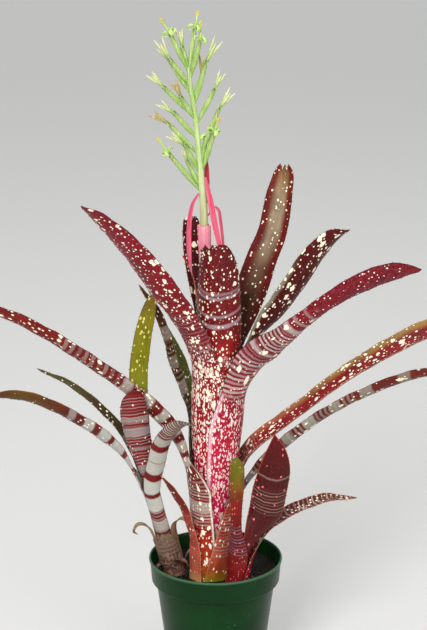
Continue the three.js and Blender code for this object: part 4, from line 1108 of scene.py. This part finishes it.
def growFloret(bundle, start, azimuth, mouthPlace, tipPlace, opened, drawn):
    base = stemCentre(start)
    mouth, tip = floretAt(base, azimuth, mouthPlace), floretAt(base, azimuth, tipPlace)
    axis = unit(mouth - base)
    side = unit(np.cross(axis, [0, 0, 1.0]) + np.array([1e-4, 0, 0]))
    other = np.cross(axis, side)
    ways = [side * math.sin(a) + other * math.cos(a) for a in (0.35 + drawn, 2.45 + drawn, 4.55 + drawn)]
    centre = [base + (mouth - base) * share for share in (0, 0.16, 0.42, 0.72, 1)]
    bundle.tube(centre, [1.0, 1.3, 2.5, 2.3, 1.9], 10, 2.0, "calyx", drawn)
    for out in ways:  # calyx lobes, close against the petals
        lobe = [mouth - axis * 3 + out, mouth + out * 1.5, mouth + axis * 2.4 + out * 1.25]
        bundle.tube(lobe, [1.1, 0.9, 0.25], 6, 1.4, "calyx", drawn, 4)
    sunk = mouth - axis * 2
    if opened:
        bundle.tube([sunk, mouth + (tip - mouth) * 0.5, tip], [1.2, 0.9, 0.6], 8, 2, "petals", drawn + 2)
        for out in ways:
            growCoil(bundle, mouth, unit(tip - mouth), out, drawn)
        growStamens(bundle, mouth, tip, ways, drawn)
    else:
        growSpent(bundle, sunk, tip, drawn)


def growCoil(bundle, mouth, axis, out, drawn):
    # A petal rolled back on itself like a watch spring.
    turns = np.linspace(0, 5.2, 13)
    reach = spike["coilRadius"] * (1 - turns / 13)
    middle = mouth + out * (spike["coilRadius"] + 0.9)
    curl = [middle - out * r * math.cos(a) + axis * r * math.sin(a) for a, r in zip(turns, reach)]
    flat = (np.cross(out, axis), 2.1, 0.85)
    bundle.tube(curl, [1.0, 1.05, 1.0, 0.9, 0.7, 0.4], 8, 0.7, "coil", drawn, 18, flat)


def growStamens(bundle, mouth, tip, ways, drawn):
    axis = unit(tip - mouth)
    reach = np.linalg.norm(tip - mouth)
    for k, out in enumerate(ways):
        end = mouth + axis * reach * (0.84 + 0.06 * k) + out * (0.8 + 0.4 * k)
        thread = [mouth, mouth + axis * reach * 0.5 + out * 0.5, end]
        bundle.tube(thread, [0.5, 0.45, 0.35], 5, 2, "petals", drawn + 2, 4)
        bundle.tube(
            [end - axis * 1.5, end, end + axis * 1.3], [0.35, 0.85, 0.35], 6, 0.8, "anther", drawn, 4,
        )
    bundle.tube([mouth, tip, tip + axis * 0.6], [0.4, 0.4, 0.7], 6, 1.6, "stigma", drawn, 5)


def growSpent(bundle, sunk, tip, drawn):
    # Spent petals stand close at the joint and part towards their dry tips, as a V seen from the front.
    length = np.linalg.norm(tip - sunk)
    axis = unit(tip - sunk)
    side = unit(np.cross(axis, [0, 1.0, 0]))
    depth = np.cross(axis, side)
    lean = 0.05 * math.sin(29 * drawn)
    for out, reach, spread in ((side, 1.0, 0.14 + lean), (-side, 0.93, 0.13 - lean), (depth, 0.8, 0.07)):
        points = []
        for share in (0, 0.2, 0.4, 0.7, 1):
            parted = 0.5 + spread * length * max(share - 0.3, 0) / 0.7
            points.append(sunk + axis * length * reach * share + out * parted)
        bundle.tube(points, [0.9, 0.9, 1.25, 1.25, 0.45], 8, 1.6, "petals", drawn, 7)


def spikeMaterial():
    s = Shading("limeSpikeFinish")
    share, kind, drawn = s.split(s.attribute("part"))
    place = s.objectPlace()
    fine = s.noise(place, 900.0, 3.0)
    broad = s.noise(place, 60.0, 2.0)
    ribsAndHighlights = s.noise(s.stretched(place, 900.0, 900.0, 40.0), 1.0, 2.0)
    height = s.ease(s.split(place)[2], 0.40, 0.62)
    stem = s.ramp(height, tones("0 9a9c62, 0.3 c0c494, 0.6 b4c882, 1 94b45c"))
    calyx = s.ramp(share, tones("0 74a038, 0.3 86ac4a, 0.75 9cb860, 0.93 82984a, 1 3e4626"))
    petals = s.ramp(share, tones("0 343a20, 0.16 465028, 0.3 8cab50, 0.6 bcc884, 1 d4d0a4"))
    wilted = s.ramp(share, tones("0 3c3c24, 0.15 5a5a34, 0.5 a89c5a, 1 b08a54"))
    petals = s.mix(s.times(s.ease(drawn, 0.62, 0.66), s.ease(drawn, 0.74, 0.78, 1.0, 0.0)), petals, wilted)
    petals = s.paint(petals, "aecb62", s.ease(drawn, 1.5, 1.9))
    coil = s.ramp(share, tones("0 9cc45a, 0.6 b8d478, 1 ccd88c"))
    colour = stem
    for start, tone in (
        (0.1, calyx), (0.3, petals), (0.5, coil), (0.7, tint("e0b814")), (0.9, tint("c8d468")),
    ):
        colour = s.mix(s.ease(kind, start - 0.02, start + 0.02), colour, tone)
    colour = s.paint(colour, "5c8a2c", s.ease(broad, 0.35, 0.7, 0.0, 0.175))
    # Painted highlight: whitish streaks along the ribs. The same ribs are also real relief through the bump
    # below.
    colour = s.paint(colour, "eceec8", s.ease(ribsAndHighlights, 0.45, 0.68, 0.0, 0.33))
    return s.finish(Base_Color=colour, Roughness=s.ease(fine, 0.2, 0.8, 0.4, 0.55), Specular_IOR_Level=0.35,
                    Normal=s.bump(s.add(fine, ribsAndHighlights), 0.3, 0.0002))


def growSpike():
    bundle = Bundle()
    table = np.array(spike["stem"], float)
    points = np.stack([table[:, 0], 0 * table[:, 0], table[:, 1]], axis=-1)
    bundle.tube(points, table[:, 2], spike["stemSides"], 3, "stem")
    count = len(spike["florets"])
    for index, floret in enumerate(spike["florets"]):
        growFloret(bundle, *floret, 0.7 if index in spike["wilted"] else 0.6 * index / count)
    made = bundle.piece("limeFlowerSpike", lambda points: inShoot(shoots["main"], points))
    made.data.materials.append(spikeMaterial())
    return finishPiece(made, "flower_lime", "flower_stem")


growSpike()


ring = {"bottom": 300, "top": 351, "inner": 4.6, "outer": 6.5, "sides": 36, "rows": 18, "skin": 0.1}


def growRing():
    # The pink sheath that wraps the stem, with a slanting, slightly frilled mouth.
    low, high = stemCentre(ring["bottom"]), stemCentre(ring["top"])
    axis = unit(high - low)
    side = unit(np.cross(axis, [0, 1.0, 0]))
    other = np.cross(axis, side)
    sides = ring["sides"]
    turn = np.linspace(0, 2 * math.pi, sides, endpoint=False)
    out = side[None] * np.cos(turn)[:, None] + other[None] * np.sin(turn)[:, None]
    heights = np.linspace(0, 1, ring["rows"])
    frill = axis[None] * (0.5 * np.sin(4 * turn) - 0.6)[:, None]
    rows = []
    for share in heights:
        swell = 1 - 0.06 * math.sin(3 * share)
        rows.append(low + (high - low) * share + out * (ring["outer"] - ring["skin"]) * swell)
    inside = [low + (high - low) * share + out * ring["inner"] for share in heights[::-1]]
    rows[-1], inside[0] = rows[-1] + frill, inside[0] + frill
    grid = np.array(rows + inside)
    rings = ringsOf(len(grid), sides)
    faces = [face[::-1] for face in ringFaces(rings + rings[:1])]
    made = meshObject("pinkStemSheath", inShoot(shoots["main"], grid).reshape(-1, 3), faces)
    faceOut(made)
    share = np.concatenate([heights, heights[::-1]])[:, None]
    marks = {
        "leafPlace": (turn[None] * ring["outer"], share * (ring["top"] - ring["bottom"]), 0.0),
        "leafShare": (1.0, share, 3.0),
    }
    for name, parts in marks.items():
        spread = [np.broadcast_to(part, (len(grid), sides)) for part in parts]
        pointVectors(made, name, np.stack(spread, axis=-1))
    made.data.materials.append(bractMaterial("pinkStemSheathFinish", bractLook["ring"]))
    return finishPiece(made, "bract_pink", "bract_pink_sheath")


growRing()
print("bracts and flower spike grown")


pot = {
    "height": 120, "rim": 65, "band": 23, "taper": 2.5, "step": 4.5, "foot": 46,
    "wall": 1.7, "floor": 2.2, "sides": 160, "holes": 8, "holeRadius": 5,
}


def latheObject(name, profile, sides, smooth=35):
    turn = np.linspace(0, 2 * math.pi, sides, endpoint=False)
    points, rows = [], []
    for radius, height in profile:
        if radius < 1e-6:
            rows.append([len(points)] * sides)
            points.append((0, 0, height))
        else:
            rows.append(list(range(len(points), len(points) + sides)))
            points += [(radius * math.cos(a), radius * math.sin(a), height) for a in turn]
    made = meshObject(name, points, ringFaces(rows), smooth)
    faceOut(made)
    return made


def potMaterial():
    s = Shading("greenPotFinish")
    place = s.objectPlace()
    x, y, z = s.split(place)
    radius = s.calc("SQRT", s.add(s.times(x, x), s.times(y, y)))
    fine = s.noise(place, 1400.0, 3.0, 0.6)
    broad = s.noise(place, 26.0, 3.0)
    rings = s.noise(s.stretched(place, 0.0, 0.0, 900.0), 1.0, 1.0)
    colour = s.mix(s.ease(broad, 0.3, 0.7), tint("062a0c"), tint("093612"))
    # Painted highlight: a pale green line along the outer top edge of the rim's lip.
    lip = s.times(s.ease(z, 0.1172, 0.1192), s.ease(radius, 0.0628, 0.0642))
    colour = s.paint(colour, "5f8a68", s.times(lip, 0.4))
    scuff = s.ease(s.noise(s.stretched(place, 300.0, 300.0, 60.0), 1.0, 4.0, 0.7), 0.62, 0.78)
    colour = s.paint(colour, "2f6a44", s.times(scuff, 0.35))
    crumb = s.times(s.ease(s.noise(place, 420.0, 2.0), 0.7, 0.74), s.ease(broad, 0.35, 0.6))
    colour = s.paint(colour, "6a7058", s.times(crumb, 0.5))
    dust = s.times(s.ease(z, 0.1, 0.118), s.times(s.ease(radius, 0.0625, 0.0605), s.ease(fine, 0.4, 0.6)))
    colour = s.paint(colour, "3c4a34", s.times(dust, 0.5))
    gloss = s.add(s.ease(fine, 0.3, 0.7, 0.28, 0.38), s.times(scuff, 0.2))
    normal = s.bump(fine, 0.15, 0.00008, s.bump(rings, 0.12, 0.0002))
    return s.finish(Base_Color=colour, Roughness=gloss, Specular_IOR_Level=0.15, Normal=normal)


def makePot():
    rim, top, foot, wall, floor = (pot[key] for key in ("rim", "height", "foot", "wall", "floor"))
    band = top - pot["band"]
    bandFoot = rim - pot["taper"]
    wallTop = bandFoot - pot["step"]
    outer = [
        (0, 0), (foot - 2, 0), (foot - 0.6, 0.5), (foot, 1.8), (
            wallTop - 0.3, band - 3,
        ), (wallTop, band - 1),
        (wallTop + 0.5, band - 0.2), (
            bandFoot - 0.5, band + 0.1,
        ), (bandFoot, band + 0.7), (rim - 1, top - 3.2),
    ]
    lip = [
        (rim - 0.3, top - 2.7), (rim, top - 2.1), (rim, top - 0.7), (
            rim - 0.25, top - 0.2,
        ), (rim - 0.7, top),
        (rim - 1.5, top), (rim - 1.9, top - 0.4), (rim - 2.6, top - 3),
    ]
    inner = [
        (bandFoot - wall, band + 2), (wallTop - wall, band - 3), (foot - wall, floor + 1),
        (foot - wall - 1, floor), (0, floor),
    ]
    made = latheObject("greenNurseryPot", outer + lip + inner, pot["sides"])
    cutters = []
    for k in range(pot["holes"]):
        turn = 2 * math.pi * (k + 0.5) / pot["holes"] - math.pi / 2
        place = Vector((foot * math.cos(turn), foot * math.sin(turn), pot["holeRadius"] * 0.4)) * mm
        size = {"vertices": 28, "radius": pot["holeRadius"] * mm, "depth": 12 * mm}
        bpy.ops.mesh.primitive_cylinder_add(location=place, **size)
        cutters.append(bpy.context.object)
    for cutter in cutters:
        bite = made.modifiers.new("drain", "BOOLEAN")
        bite.object, bite.solver = cutter, "EXACT"
    made.data = bpy.data.meshes.new_from_object(made.evaluated_get(bpy.context.evaluated_depsgraph_get()))
    made.modifiers.clear()
    for cutter in cutters:
        bpy.data.objects.remove(cutter, do_unlink=True)
    made.data.shade_smooth()
    made.data.set_sharp_from_angle(angle=math.radians(35))
    made.data.materials.clear()
    made.data.materials.append(potMaterial())
    return finishPiece(made, "pot_plastic", "pot")


makePot()


mix = {"ripple": 1.2, "crumb": 0.9, "rings": 46, "sides": 150, "chips": 90000.0, "chipSize": 1.9, "seed": 7,
       "skinRings": 24, "skinSides": 90}


def soilMaterial():
    s = Shading("pottingMixFinish")
    place = s.objectPlace()
    clump = s.noise(place, 240.0, 4.0, 0.65)
    fibre = s.noise(s.stretched(place, 500.0, 90.0, 300.0), 1.0, 3.0)
    colour = s.ramp(clump, tones("0.2 060403, 0.5 100b08, 0.72 241a11, 0.9 4a3826"))
    colour = s.paint(colour, "7a6244", s.ease(fibre, 0.66, 0.76, 0.0, 0.6))
    return s.finish(Base_Color=colour, Roughness=s.ease(clump, 0.2, 0.8, 0.7, 0.95), Specular_IOR_Level=0.15,
                    Normal=s.bump(clump, 0.8, 0.0012))


def soilTop(radius, angle):
    broad = np.sin(3 * angle + 0.6) + np.sin(5 * angle + 0.09 * radius) + np.cos(0.16 * radius + angle)
    crumb = np.sin(radius * 1.3 + 4 * np.sin(angle * 7)) * np.cos(angle * 23 + radius * 0.7)
    return soilLevel + mix["ripple"] * broad / 3 + mix["crumb"] * 0.4 * crumb


def makeSoil():
    slack = pot["wall"] + 0.35
    band = pot["height"] - pot["band"]
    edge = pot["rim"] - pot["taper"] - slack
    wallTop = edge - pot["step"]
    base = pot["floor"] + 0.3
    sides = mix["sides"]
    turn = np.linspace(0, 2 * math.pi, sides, endpoint=False)
    points, rows = [(0, 0, base)], [[0] * sides]
    sections = [(pot["foot"] - slack - 1, base), (pot["foot"] - slack, pot["floor"] + 1.5)]
    sections += [(wallTop, band - 3.4), (edge - 0.6, band + 2)]
    for radius, height in sections + [(r, None) for r in np.linspace(edge, 2, mix["rings"])]:
        rows.append(list(range(len(points), len(points) + sides)))
        level = soilTop(radius, turn) if height is None else np.full(sides, height)
        points += [(radius * math.cos(a), radius * math.sin(a), z) for a, z in zip(turn, level)]
    rows.append([len(points)] * sides)
    points.append((0, 0, soilLevel))
    made = meshObject("pottingMix", points, ringFaces(rows), 80)
    faceOut(made)
    made.data.materials.append(soilMaterial())
    return made


def socketAt(nodes, side, text):
    node, name = text.split(".")
    return getattr(nodes[node], side)[int(name) if name.isdigit() else name]


def treeWith(name, inputs, plan):
    # A tree that puts small forms on points, from a plan with wires written as "node.Output > node.Input".
    tree = bpy.data.node_groups.new(name, "GeometryNodeTree")
    for side in ("INPUT", "OUTPUT"):
        tree.interface.new_socket(name="Geometry", in_out=side, socket_type="NodeSocketGeometry")
    sockets = []
    for title, kind, value in inputs:
        socket = tree.interface.new_socket(name=title, in_out="INPUT", socket_type="NodeSocket" + kind)
        if kind != "Material":
            socket.default_value = value
        sockets.append((socket.identifier, value))
    kinds = {
        "source": "NodeGroupInput", "result": "NodeGroupOutput", "place": "GeometryNodeInstanceOnPoints",
        "solid": "GeometryNodeRealizeInstances", "paint": "GeometryNodeSetMaterial", **plan["nodes"],
    }
    nodes = {key: tree.nodes.new(kind) for key, kind in kinds.items()}
    for key, mode in plan["modes"].items():
        node, setting = key.split(".")
        setattr(nodes[node], setting, mode)
    for text, value in plan["values"].items():
        socketAt(nodes, "inputs", text).default_value = value
    for wire in plan["wires"] + [
        "place.Instances > solid.Geometry", "solid.Geometry > paint.Geometry",
        "source.Finish > paint.Material", "paint.Geometry > result.Geometry",
    ]:
        start, end = wire.split(" > ")
        tree.links.new(socketAt(nodes, "outputs", start), socketAt(nodes, "inputs", end))
    return tree, sockets


def plainFrom(made, tree, sockets):
    # Runs a tree on an object and keeps what it makes as an ordinary mesh.
    live = made.modifiers.new(tree.name, "NODES")
    live.node_group = tree
    for identifier, value in sockets:
        live[identifier] = value
    result = bpy.data.meshes.new_from_object(made.evaluated_get(bpy.context.evaluated_depsgraph_get()))
    made.modifiers.remove(live)
    made.data = result
    return made


chipPlan = {
    "nodes": {
        "spread": "GeometryNodeDistributePointsOnFaces", "chip": "GeometryNodeMeshIcoSphere",
        "flat": "GeometryNodeTransform", "turn": "FunctionNodeRandomValue", "size": "FunctionNodeRandomValue",
    },
    "modes": {"turn.data_type": "FLOAT_VECTOR", "size.data_type": "FLOAT_VECTOR"},
    "values": {
        "turn.1": (6.28, 6.28, 6.28), "size.0": (0.35, 0.25, 0.2), "size.1": (1.5, 0.8, 0.6),
        "chip.Subdivisions": 1, "flat.Scale": (1.0, 0.6, 0.35),
    },
    "wires": [
        "source.Geometry > spread.Mesh", "source.Density > spread.Density", "source.Seed > spread.Seed",
        "source.Seed > turn.Seed", "source.Seed > size.Seed", "source.Chip Size > chip.Radius",
        "chip.Mesh > flat.Geometry", "spread.Points > place.Points", "flat.Geometry > place.Instance",
        "turn.0 > place.Rotation", "size.0 > place.Scale",
    ],
}


def chipTree(material):
    inputs = [
        ("Density", "Float", mix["chips"]), ("Chip Size", "Float", mix["chipSize"] * mm),
        ("Seed", "Int", mix["seed"]), ("Finish", "Material", material),
    ]
    return treeWith("scatteredBark", inputs, chipPlan)


def topSkin():
    # Only the open top of the mix, for the bark to lie on.
    radii = np.linspace(8, pot["rim"] - pot["taper"] - pot["wall"] - 2.5, mix["skinRings"])
    turn = np.linspace(0, 2 * math.pi, mix["skinSides"], endpoint=False)
    points = [(r * math.cos(a), r * math.sin(a), float(soilTop(r, a)) - 0.3) for r in radii for a in turn]
    faces = [face[::-1] for face in ringFaces(ringsOf(len(radii), len(turn)))]
    return meshObject("barkChips", points, faces)


def barkMaterial():
    s = Shading("barkChipFinish")
    drawn = s.attribute("chipTone", "Fac")
    fibre = s.noise(s.stretched(s.objectPlace(), 900.0, 200.0, 600.0), 1.0, 3.0)
    colour = s.ramp(drawn, tones("0 0a0705, 0.5 18100b, 0.8 2e2016, 0.93 52402c, 1 74624a"))
    colour = s.paint(colour, "b09a74", s.ease(fibre, 0.45, 0.7, 0.0, 0.25))
    return s.finish(Base_Color=colour, Roughness=s.ease(fibre, 0.2, 0.8, 0.65, 0.95), Specular_IOR_Level=0.2,
                    Normal=s.bump(fibre, 0.6, 0.0005))


finishPiece(makeSoil(), "soil", "soil")
bark = topSkin()
plainFrom(bark, *chipTree(barkMaterial()))
finishPiece(bark, "soil")
print("pot and mix made")


teeth = {"spacing": 7.5, "length": 1.25, "radius": 0.42, "sides": 5, "seed": 4}


def toothMaterial():
    s = Shading("marginToothFinish")
    grain = s.noise(s.objectPlace(), 700.0, 2.0)
    colour = s.mix(s.ease(grain, 0.35, 0.65), tint("5a2a1e"), tint("8c5a3a"))
    return s.finish(Base_Color=colour, Roughness=s.ease(grain, 0.2, 0.8, 0.4, 0.6),
                    Normal=s.bump(grain, 0.2, 0.0001))


toothPlan = {
    "nodes": {
        "curve": "GeometryNodeMeshToCurve", "steps": "GeometryNodeResampleCurve",
        "cone": "GeometryNodeMeshCone", "aim": "GeometryNodeInputNamedAttribute",
        "align": "FunctionNodeAlignRotationToVector", "size": "FunctionNodeRandomValue",
    },
    "modes": {
        "steps.mode": "LENGTH", "aim.data_type": "FLOAT_VECTOR", "align.axis": "Z", "size.data_type": "FLOAT",
    },
    "values": {"cone.Vertices": teeth["sides"], "aim.Name": "outward", "size.2": 0.6, "size.3": 1.15},
    "wires": [
        "source.Geometry > curve.Mesh", "curve.Curve > steps.Curve", "source.Spacing > steps.Length",
        "source.Tooth Radius > cone.Radius Bottom", "source.Tooth Length > cone.Depth",
        "aim.Attribute > align.Vector", "source.Seed > size.Seed", "steps.Curve > place.Points",
        "cone.Mesh > place.Instance", "align.Rotation > place.Rotation", "size.1 > place.Scale",
    ],
}


def toothTree(material):
    inputs = [
        ("Spacing", "Float", teeth["spacing"] * mm), ("Tooth Length", "Float", teeth["length"] * mm),
        ("Tooth Radius", "Float", teeth["radius"] * mm), ("Seed", "Int", teeth["seed"]),
        ("Finish", "Material", material),
    ]
    return treeWith("leafTeeth", inputs, toothPlan)


def growTeeth():
    points, edges, aims = [], [], []
    for path, outside in rimPaths:
        first = len(points)
        points += (path * mm).tolist()
        edges += [(first + i, first + i + 1) for i in range(len(path) - 1)]
        aims += outside.tolist()
    mesh = bpy.data.meshes.new("marginalTeeth")
    mesh.from_pydata(points, edges, [])
    made = placed("marginalTeeth", mesh)
    pointVectors(made, "outward", aims)
    plainFrom(made, *toothTree(toothMaterial()))
    return finishPiece(made, "leaf_red")


growTeeth()


def stemMaterial():
    s = Shading("paleShootFinish")
    place = s.objectPlace()
    grain = s.noise(s.stretched(place, 500.0, 500.0, 60.0), 1.0, 3.0)
    colour = s.mix(s.ease(grain, 0.3, 0.7), tint("9a8c4c"), tint("c4b27a"))
    colour = s.paint(colour, "7a4a34", s.ease(s.split(place)[2], 0.1, 0.13, 0.6, 0.0))
    return s.finish(Base_Color=colour, Roughness=s.ease(grain, 0.2, 0.8, 0.5, 0.7),
                    Normal=s.bump(grain, 0.4, 0.0004))


pale = stemMaterial()
for node in ("left_pup_stem", "right_pup_stem"):
    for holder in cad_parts[node].material_slots:
        holder.material = pale


studio = {
    "eye": (-0.002, -1.8, 0.921), "pitch": 72.87, "lens": 114.29, "floorReach": 30.0,
    "key": (
        -0.7, -2.1, 1.9, 0.9, 58.0,
    ), "fill": (1.5, -1.7, 1.0, 1.4, 14.0), "top": (0.2, 0.6, 2.4, 1.8, 20.0),
    "back": (0.0, 6.0, 6.0, 7.0, 160.0), "aim": (0.0, 0.0, 0.33), "backAim": (0.0, 9.0, 0.0), "sky": 0.5,
    "skyTone": (0.95, 0.97, 1.0, 1.0),
}


def floorMaterial():
    s = Shading("paleFloorFinish")
    grain = s.noise(s.objectPlace(), 220.0, 2.0)
    colour = s.mix(s.ease(grain, 0.3, 0.7), tint("d2d1ce"), tint("d3d2cf"))
    return s.finish(Base_Color=colour, Roughness=s.ease(grain, 0.2, 0.8, 0.75, 0.85))


def setStudio():
    reach = studio["floorReach"]
    corners = [(-reach, -reach, 0), (reach, -reach, 0), (reach, reach, 0), (-reach, reach, 0)]
    mesh = bpy.data.meshes.new("paleFloor")
    mesh.from_pydata(corners, [], [(0, 1, 2, 3)])
    mesh.materials.append(floorMaterial())
    placed("paleFloor", mesh)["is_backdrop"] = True
    for name in ("key", "fill", "top", "back"):
        x, y, z, size, power = studio[name]
        lamp = bpy.data.lights.new(name + "Light", "AREA")
        lamp.size, lamp.energy = size, power
        holder = placed(name + "Light", lamp)
        holder.location = (x, y, z)
        aim = Vector(studio["backAim" if name == "back" else "aim"])
        holder.rotation_euler = (aim - Vector((x, y, z))).to_track_quat("-Z", "Y").to_euler()
    world = bpy.data.worlds.new("softSky")
    world.use_nodes = True
    sky = world.node_tree.nodes["Background"].inputs
    sky[0].default_value, sky[1].default_value = studio["skyTone"], studio["sky"]
    bpy.context.scene.world = world
    bpy.context.scene.view_settings.view_transform = "Standard"
    lens = bpy.data.cameras.new("studioCamera")
    lens.sensor_fit, lens.sensor_height, lens.lens = "VERTICAL", 36, studio["lens"]
    lens.clip_start, lens.clip_end = 0.05, 200
    holder = placed("studioCamera", lens)
    holder.location = studio["eye"]
    holder.rotation_euler = (math.radians(studio["pitch"]), 0, 0)
    bpy.context.scene.camera = holder


setStudio()
print("studio set")

plain = lambda box: [list(map(float, corner)) for corner in box]
{"cad": plain(cadBox), "visual": plain(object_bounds())}
